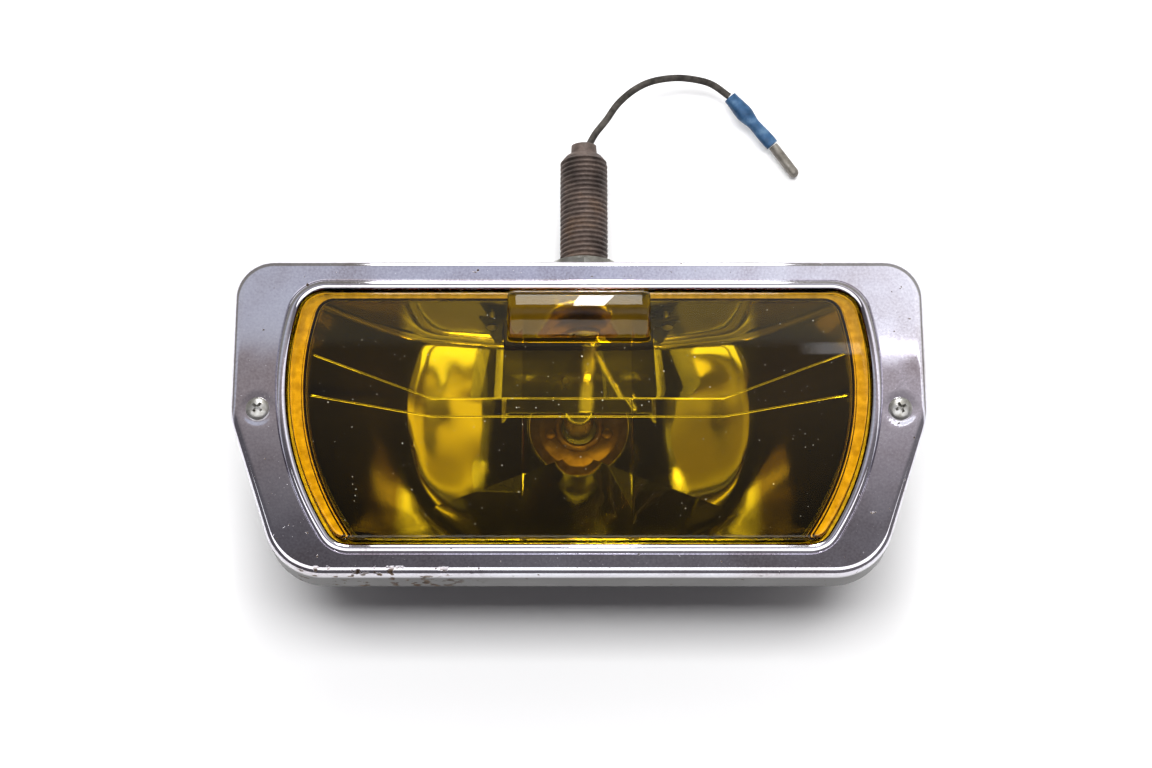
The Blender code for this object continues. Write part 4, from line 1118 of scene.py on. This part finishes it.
def housing():
    back = housing_outline(0.0)
    rows = []
    turn = 4.6 * MM
    for inset in (24.0 * MM, 16.0 * MM, 9.0 * MM):
        rows.append(at_height(shrunk(back, inset), 0.0))
    for s, c in quarter_turn(8):
        rows.append(at_height(shrunk(back, turn * (1 - s)), 4.5 * MM * (1 - c)))
    for z, share in ((12.0, 0.24), (20.0, 0.5), (28.0, 0.74), (36.0, 0.95), (44.0, 0.985)):
        rows.append(at_height(housing_outline(share), z * MM))
    rows.append(at_height(housing_outline(1.0), HOUSING_RIM_Z - 1.0 * MM))
    rows.append(at_height(housing_outline(1.0), HOUSING_RIM_Z))
    bucket = loft("housing_bucket", rows, BLACK_PAINT, (True, False), smooth_angle=50.0)
    thicken(bucket, 1.0 * MM)
    hole = rod("hole", BALL - Vector((0, 8 * MM, 0)), BALL + Vector((0, 2 * MM, 0)), BALL_RADIUS)
    combine(bucket, hole)
    finish(bucket, "housing", "black_paint", "housing_shell")


def zone(inner, outer, from_deg, to_deg, steps=14):
    """Profile of a zone of a hollow sphere round the ball's centre."""
    angles = [radians(from_deg + (to_deg - from_deg) * k / steps) for k in range(steps + 1)]
    profile = [(outer * sin(a), outer * cos(a)) for a in angles]
    return profile + [(inner * sin(a), inner * cos(a)) for a in reversed(angles)]


def swivel():
    seat, flange = HOUSING_TOP_Y - BALL.y, 11.0 * MM
    gasket = [(8.5 * MM, seat + GAP), (flange, seat + GAP), (11.2 * MM, seat + 0.8 * MM),
              (flange, seat + 1.3 * MM), (8.5 * MM, seat + 1.3 * MM)]
    inner, base = SOCKET_RADII[0], seat + 1.6 * MM
    socket = zone(*SOCKET_RADII, 60, 90, 10)
    socket[11:11] = [(flange, base + 0.9 * MM), (flange, base), (inner, base), (inner, 0.0)]
    for name, profile, look, body, slot, node in (
        ("swivel_ring", gasket, RUBBER, "housing", "rubber", "swivel_gasket"),
        ("ball_socket", socket, ZINC, "housing", "zinc", "stud_socket"),
        ("dome_shell", zone(*DOME_RADII, 48, 72), ZINC, "swivel_dome", "zinc", "dome_washer"),
        ("cup_shell", zone(*CUP_RADII, 35, 58), SPRING, "swivel_cup", "spring_steel", "cup_spring"),
    ):
        piece = revolve(name, profile, BALL, (0, 1, 0), look, 96, close=True)
        finish(piece, body, slot, node)


def ring_round_stud(height, radius_at, count):
    """A ring round the stud's axis. radius_at gives the radius at a share of a whole turn."""
    row = []
    for k in range(count):
        a, r = 2 * pi * k / count, radius_at(k / count)
        row.append((BALL.x + r * cos(a), BALL.y + height, BALL.z + r * sin(a)))
    return row


def stud():
    """The hollow stud: a ball foot, a real helical thread and a reduced end that shows wear."""
    per_turn = 10
    foot = sqrt(BALL_RADIUS**2 - THREAD_RADIUS**2)
    end, thread_end = STUD_END_Y - BALL.y, THREAD_END_Y - BALL.y
    thread_start = 6.5 * MM
    rows = []

    def ring(height, radius):
        radius_at = radius if callable(radius) else lambda _: radius
        rows.append(ring_round_stud(height, radius_at, 72))

    mouth, top = pi - asin(STUD_MOUTH_RADIUS / BALL_RADIUS), asin(THREAD_RADIUS / BALL_RADIUS)
    for k in range(17):
        a = mouth + (top - mouth) * k / 16
        ring(BALL_RADIUS * cos(a), BALL_RADIUS * sin(a))
    ring(foot + 0.3 * MM, THREAD_RADIUS - THREAD_DEPTH)
    steps = round((thread_end - thread_start) / THREAD_PITCH * per_turn)
    chamfer = 3.0 * MM
    for k in range(steps + 1):
        height = thread_start + (thread_end - thread_start) * k / steps

        def threaded(share, height=height):
            phase = (height / THREAD_PITCH + share) % 1.0
            rise = ease(abs(2 * phase - 1), 0.05, 0.75)
            crest = THREAD_RADIUS - THREAD_DEPTH * (1 - rise)
            left = thread_end - height
            slope = STUD_NECK_RADIUS + 1.0 * MM + (THREAD_RADIUS - STUD_NECK_RADIUS) * left / chamfer
            return min(crest, slope)

        ring(height, threaded)
    ring(thread_end + 0.15 * MM, STUD_NECK_RADIUS + 0.35 * MM)
    ring(thread_end + 0.5 * MM, STUD_NECK_RADIUS + 0.05 * MM)

    def flatted(grow):
        """The neck with two filed flats on its sides."""
        def radius_at(share):
            flat = (STUD_NECK_RADIUS - 0.35 * MM) / max(abs(cos(2 * pi * share)), 1e-6)
            return min(STUD_NECK_RADIUS, flat) + grow
        return radius_at

    for height, grow in ((0.8, 0.0), (1.6, -0.06), (2.6, -0.12), (2.9, -0.2), (3.1, -0.5)):
        ring(thread_end + height * MM, flatted(grow * MM))
    ring(end, STUD_BORE_RADIUS + 0.1 * MM)
    for height in (end - 0.4 * MM, end - 14 * MM, -4.0 * MM):
        ring(height, STUD_BORE_RADIUS)
    body = loft("threaded_stud", rows, OXIDISED, close=True, smooth_angle=60.0)
    finish(body, "stud", "old_steel", "mounting_stud")


def lock_nut():
    """A thin hexagon nut with chamfered corners and a hollow seat."""
    high = NUT_TOP_Y - BALL.y
    apothem = NUT_ACROSS_FLATS / 2
    rows = []

    def hexed(height, limit):
        def radius_at(share):
            fold = (2 * pi * share + pi / 6) % (pi / 3) - pi / 6
            return min(apothem / cos(fold), limit)
        rows.append(ring_round_stud(height, radius_at, 96))

    seat = 11.4 * MM
    rim = 9.3 * MM
    seat_z = sqrt(seat**2 - rim**2)
    for height, limit in ((seat_z + 0.2 * MM, 9.2 * MM), (seat_z + 1.2 * MM, 9.8 * MM),
                          (high - 0.8 * MM, 9.8 * MM), (high, 8.6 * MM)):
        hexed(height, limit)
    hexed(high, 6.4 * MM)
    hexed(high - 0.3 * MM, 6.2 * MM)
    hexed(sqrt(seat**2 - (6.2 * MM) ** 2) + 0.1 * MM, 6.2 * MM)
    for r in (7.0 * MM, 8.0 * MM, 8.8 * MM):
        hexed(sqrt(seat**2 - r**2), r)
    nut = loft("hex_nut", rows, ZINC, close=True, smooth_angle=25.0)
    finish(nut, "stud", "zinc", "lock_nut")


# ---- dust


def dust():
    """Grains of dust on the outer face of the lens."""
    rng = random.Random(11)
    bm = bmesh.new()
    left = 240
    while left:
        x, y = rng.uniform(-62, 62) * MM, rng.uniform(-27, 26.5) * MM
        on_bar = abs(x) < BAR_HALF_LENGTH + MM and y > BAR_Y - BAR_HALF_WIDTH - MM
        if on_bar or hypot(x, y - AXIS_Y) > OPENING_RADIUS - 4 * MM:
            continue
        size = rng.choice((0.05, 0.06, 0.07, 0.09, 0.13)) * MM * rng.uniform(0.7, 1.3)
        made = bmesh.ops.create_icosphere(bm, subdivisions=1, radius=size)["verts"]
        for vert in made:
            vert.co.z = LENS_FRONT + 0.01 * MM + vert.co.z * 0.25
            vert.co.x += x
            vert.co.y += y
        left -= 1
    specks = mesh_object("lens_dust", bm, DUST)
    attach(specks, "front_unit")


# ---- studio


def studio():
    """A pale floor, soft lights, and a room in grey zones that lie behind one another along +Y."""
    bm = bmesh.new()
    bmesh.ops.create_grid(bm, x_segments=8, y_segments=8, size=3.0)
    bmesh.ops.translate(bm, verts=bm.verts, vec=(0, 0, -0.2 * MM))
    white, tree, shader = material("white_floor", Roughness=0.75, Specular_IOR_Level=0.2)
    tint = ramp(tree, grain(tree, 3, 3), (0.3, (0.80, 0.80, 0.81)), (0.7, (0.84, 0.84, 0.84)))
    feed(tree, shader, Base_Color=tint)
    floor = mesh_object("floor", bm, white)

    world = bpy.data.worlds.new("studio")
    bpy.context.scene.world = world
    world.use_nodes = True
    tree = world.node_tree
    direction = add(tree, "TexCoord").outputs["Generated"]
    xyz = add(tree, "SeparateXYZ", {0: direction}).outputs

    def beyond(degrees, soft):
        """1 where a direction lies more than this angle off the zenith, towards +Y."""
        a = radians(degrees)
        rise = maths(tree, "MULTIPLY", xyz[1], cos(a))
        drop = maths(tree, "MULTIPLY", xyz[2], sin(a))
        return window(tree, maths(tree, "SUBTRACT", rise, drop), 0.0, soft)

    tilt = window(tree, xyz[0], -0.15, 0.15)
    dim = ramp(tree, tilt, (0.0, (0.13, 0.125, 0.135)), (1.0, (0.20, 0.19, 0.20)))
    ceiling = ramp(tree, tilt, (0.0, (0.33, 0.30, 0.30)), (1.0, (0.50, 0.46, 0.48)))
    wall = ramp(tree, tilt, (0.0, (0.50, 0.51, 0.56)), (0.5, (0.55, 0.57, 0.68)),
                (1.0, (1.05, 1.04, 1.08)))
    deep = ramp(tree, tilt, (0.0, (0.27, 0.26, 0.24)), (1.0, (0.40, 0.39, 0.36)))
    ceiling_at, wall_at, deep_at = 14.5, 18.45, 23.5
    shade = mix(tree, beyond(ceiling_at, 0.05), dim, ceiling)
    shade = mix(tree, beyond(wall_at, 0.004), shade, wall)
    shade = mix(tree, beyond(deep_at, 0.12), shade, deep)
    edge = maths(tree, "SUBTRACT", beyond(wall_at - 0.15, 0.001), beyond(wall_at + 0.1, 0.001))
    edge = maths(tree, "MULTIPLY", edge, window(tree, xyz[0], 0.085, 0.095))
    shade = mix(tree, edge, shade, (2.6, 2.6, 2.8))
    background = tree.nodes["Background"]
    tree.links.new(shade, background.inputs["Color"])
    background.inputs["Strength"].default_value = 1.0

    # Name, place, size, power, whether mirrors and glass see it, whether it lights matt things.
    for lamp in (
        ("back_box", (0.0, 1.05, 0.80), (0.9, 0.8), 4.0, False, True),
        ("strip", (0.0, 1.04, 0.80), (0.30, 0.8), 3.3, True, True),
        ("core", (0.022, 0.98, 0.86), (0.05, 0.75), 2.2, True, True),
        ("overhead", (0.0, -0.30, 1.3), (2.1, 1.0), 9.5, True, False),
        ("key", (0.0, -0.02, 1.4), (0.9, 0.4), 17.5, False, True),
    ):
        softbox(*lamp)
    settings = bpy.context.scene.view_settings
    settings.view_transform = "Standard"
    settings.look = "Medium High Contrast"


def softbox(name, place, size, power, seen, lights):
    """An area light. It can be left out of mirrors and glass, or light nothing matt."""
    data = bpy.data.lights.new(name, "AREA")
    data.shape = "RECTANGLE"
    data.size, data.size_y = size
    data.energy = power
    made = placed(name, data)
    made.location = place
    towards = Vector((0, 0, 0.03)) - Vector(place)
    made.rotation_euler = towards.to_track_quat("-Z", "Y").to_euler()
    made.visible_glossy = seen
    made.visible_transmission = seen
    made.visible_diffuse = lights


# ---- the lamp

camera()
supply_cord()
bezel()
screws()
lens()
seal_ring("cork_gasket", opening_outline(1.2 * MM), opening_outline(-2.7 * MM, -0.5 * MM),
          RIM_Z + GAP, LENS_LOW.z - GAP, CORK, "front_unit", "rubber", "lens_gasket")
reflector()
holder()
bulb()
housing()
seal_ring("housing_gasket", housing_outline(1.0), shrunk(housing_outline(1.0), 1.9 * MM),
          HOUSING_RIM_Z + GAP, HOUSING_SEAL_Z, RUBBER, "housing", "rubber", "housing_seal")
swivel()
stud()
lock_nut()
dust()
hood()
for word in ("left", "right"):
    soften(f"screw_bracket_{word}", ZINC)
    soften(f"screw_nut_{word}", SPRING)
    paint(f"hood_rivet_{word}", ZINC)
    for level in ("upper", "lower"):
        soften(f"lens_clip_{level}_{word}", SPRING, 0.15 * MM)
for node, finish in (
    ("bulb_base", TIN), ("bulb_clip", SPRING), ("clip_eye", ZINC), ("clip_catch", ZINC),
    ("bulb_lead", INSULATION), ("bulb_lead_bullet", BRASS), ("stud_lead", INSULATION),
    ("inner_supply_lead", INSULATION), ("supply_joint_sleeve", BLUE_PLASTIC),
):
    paint(node, finish)
studio()
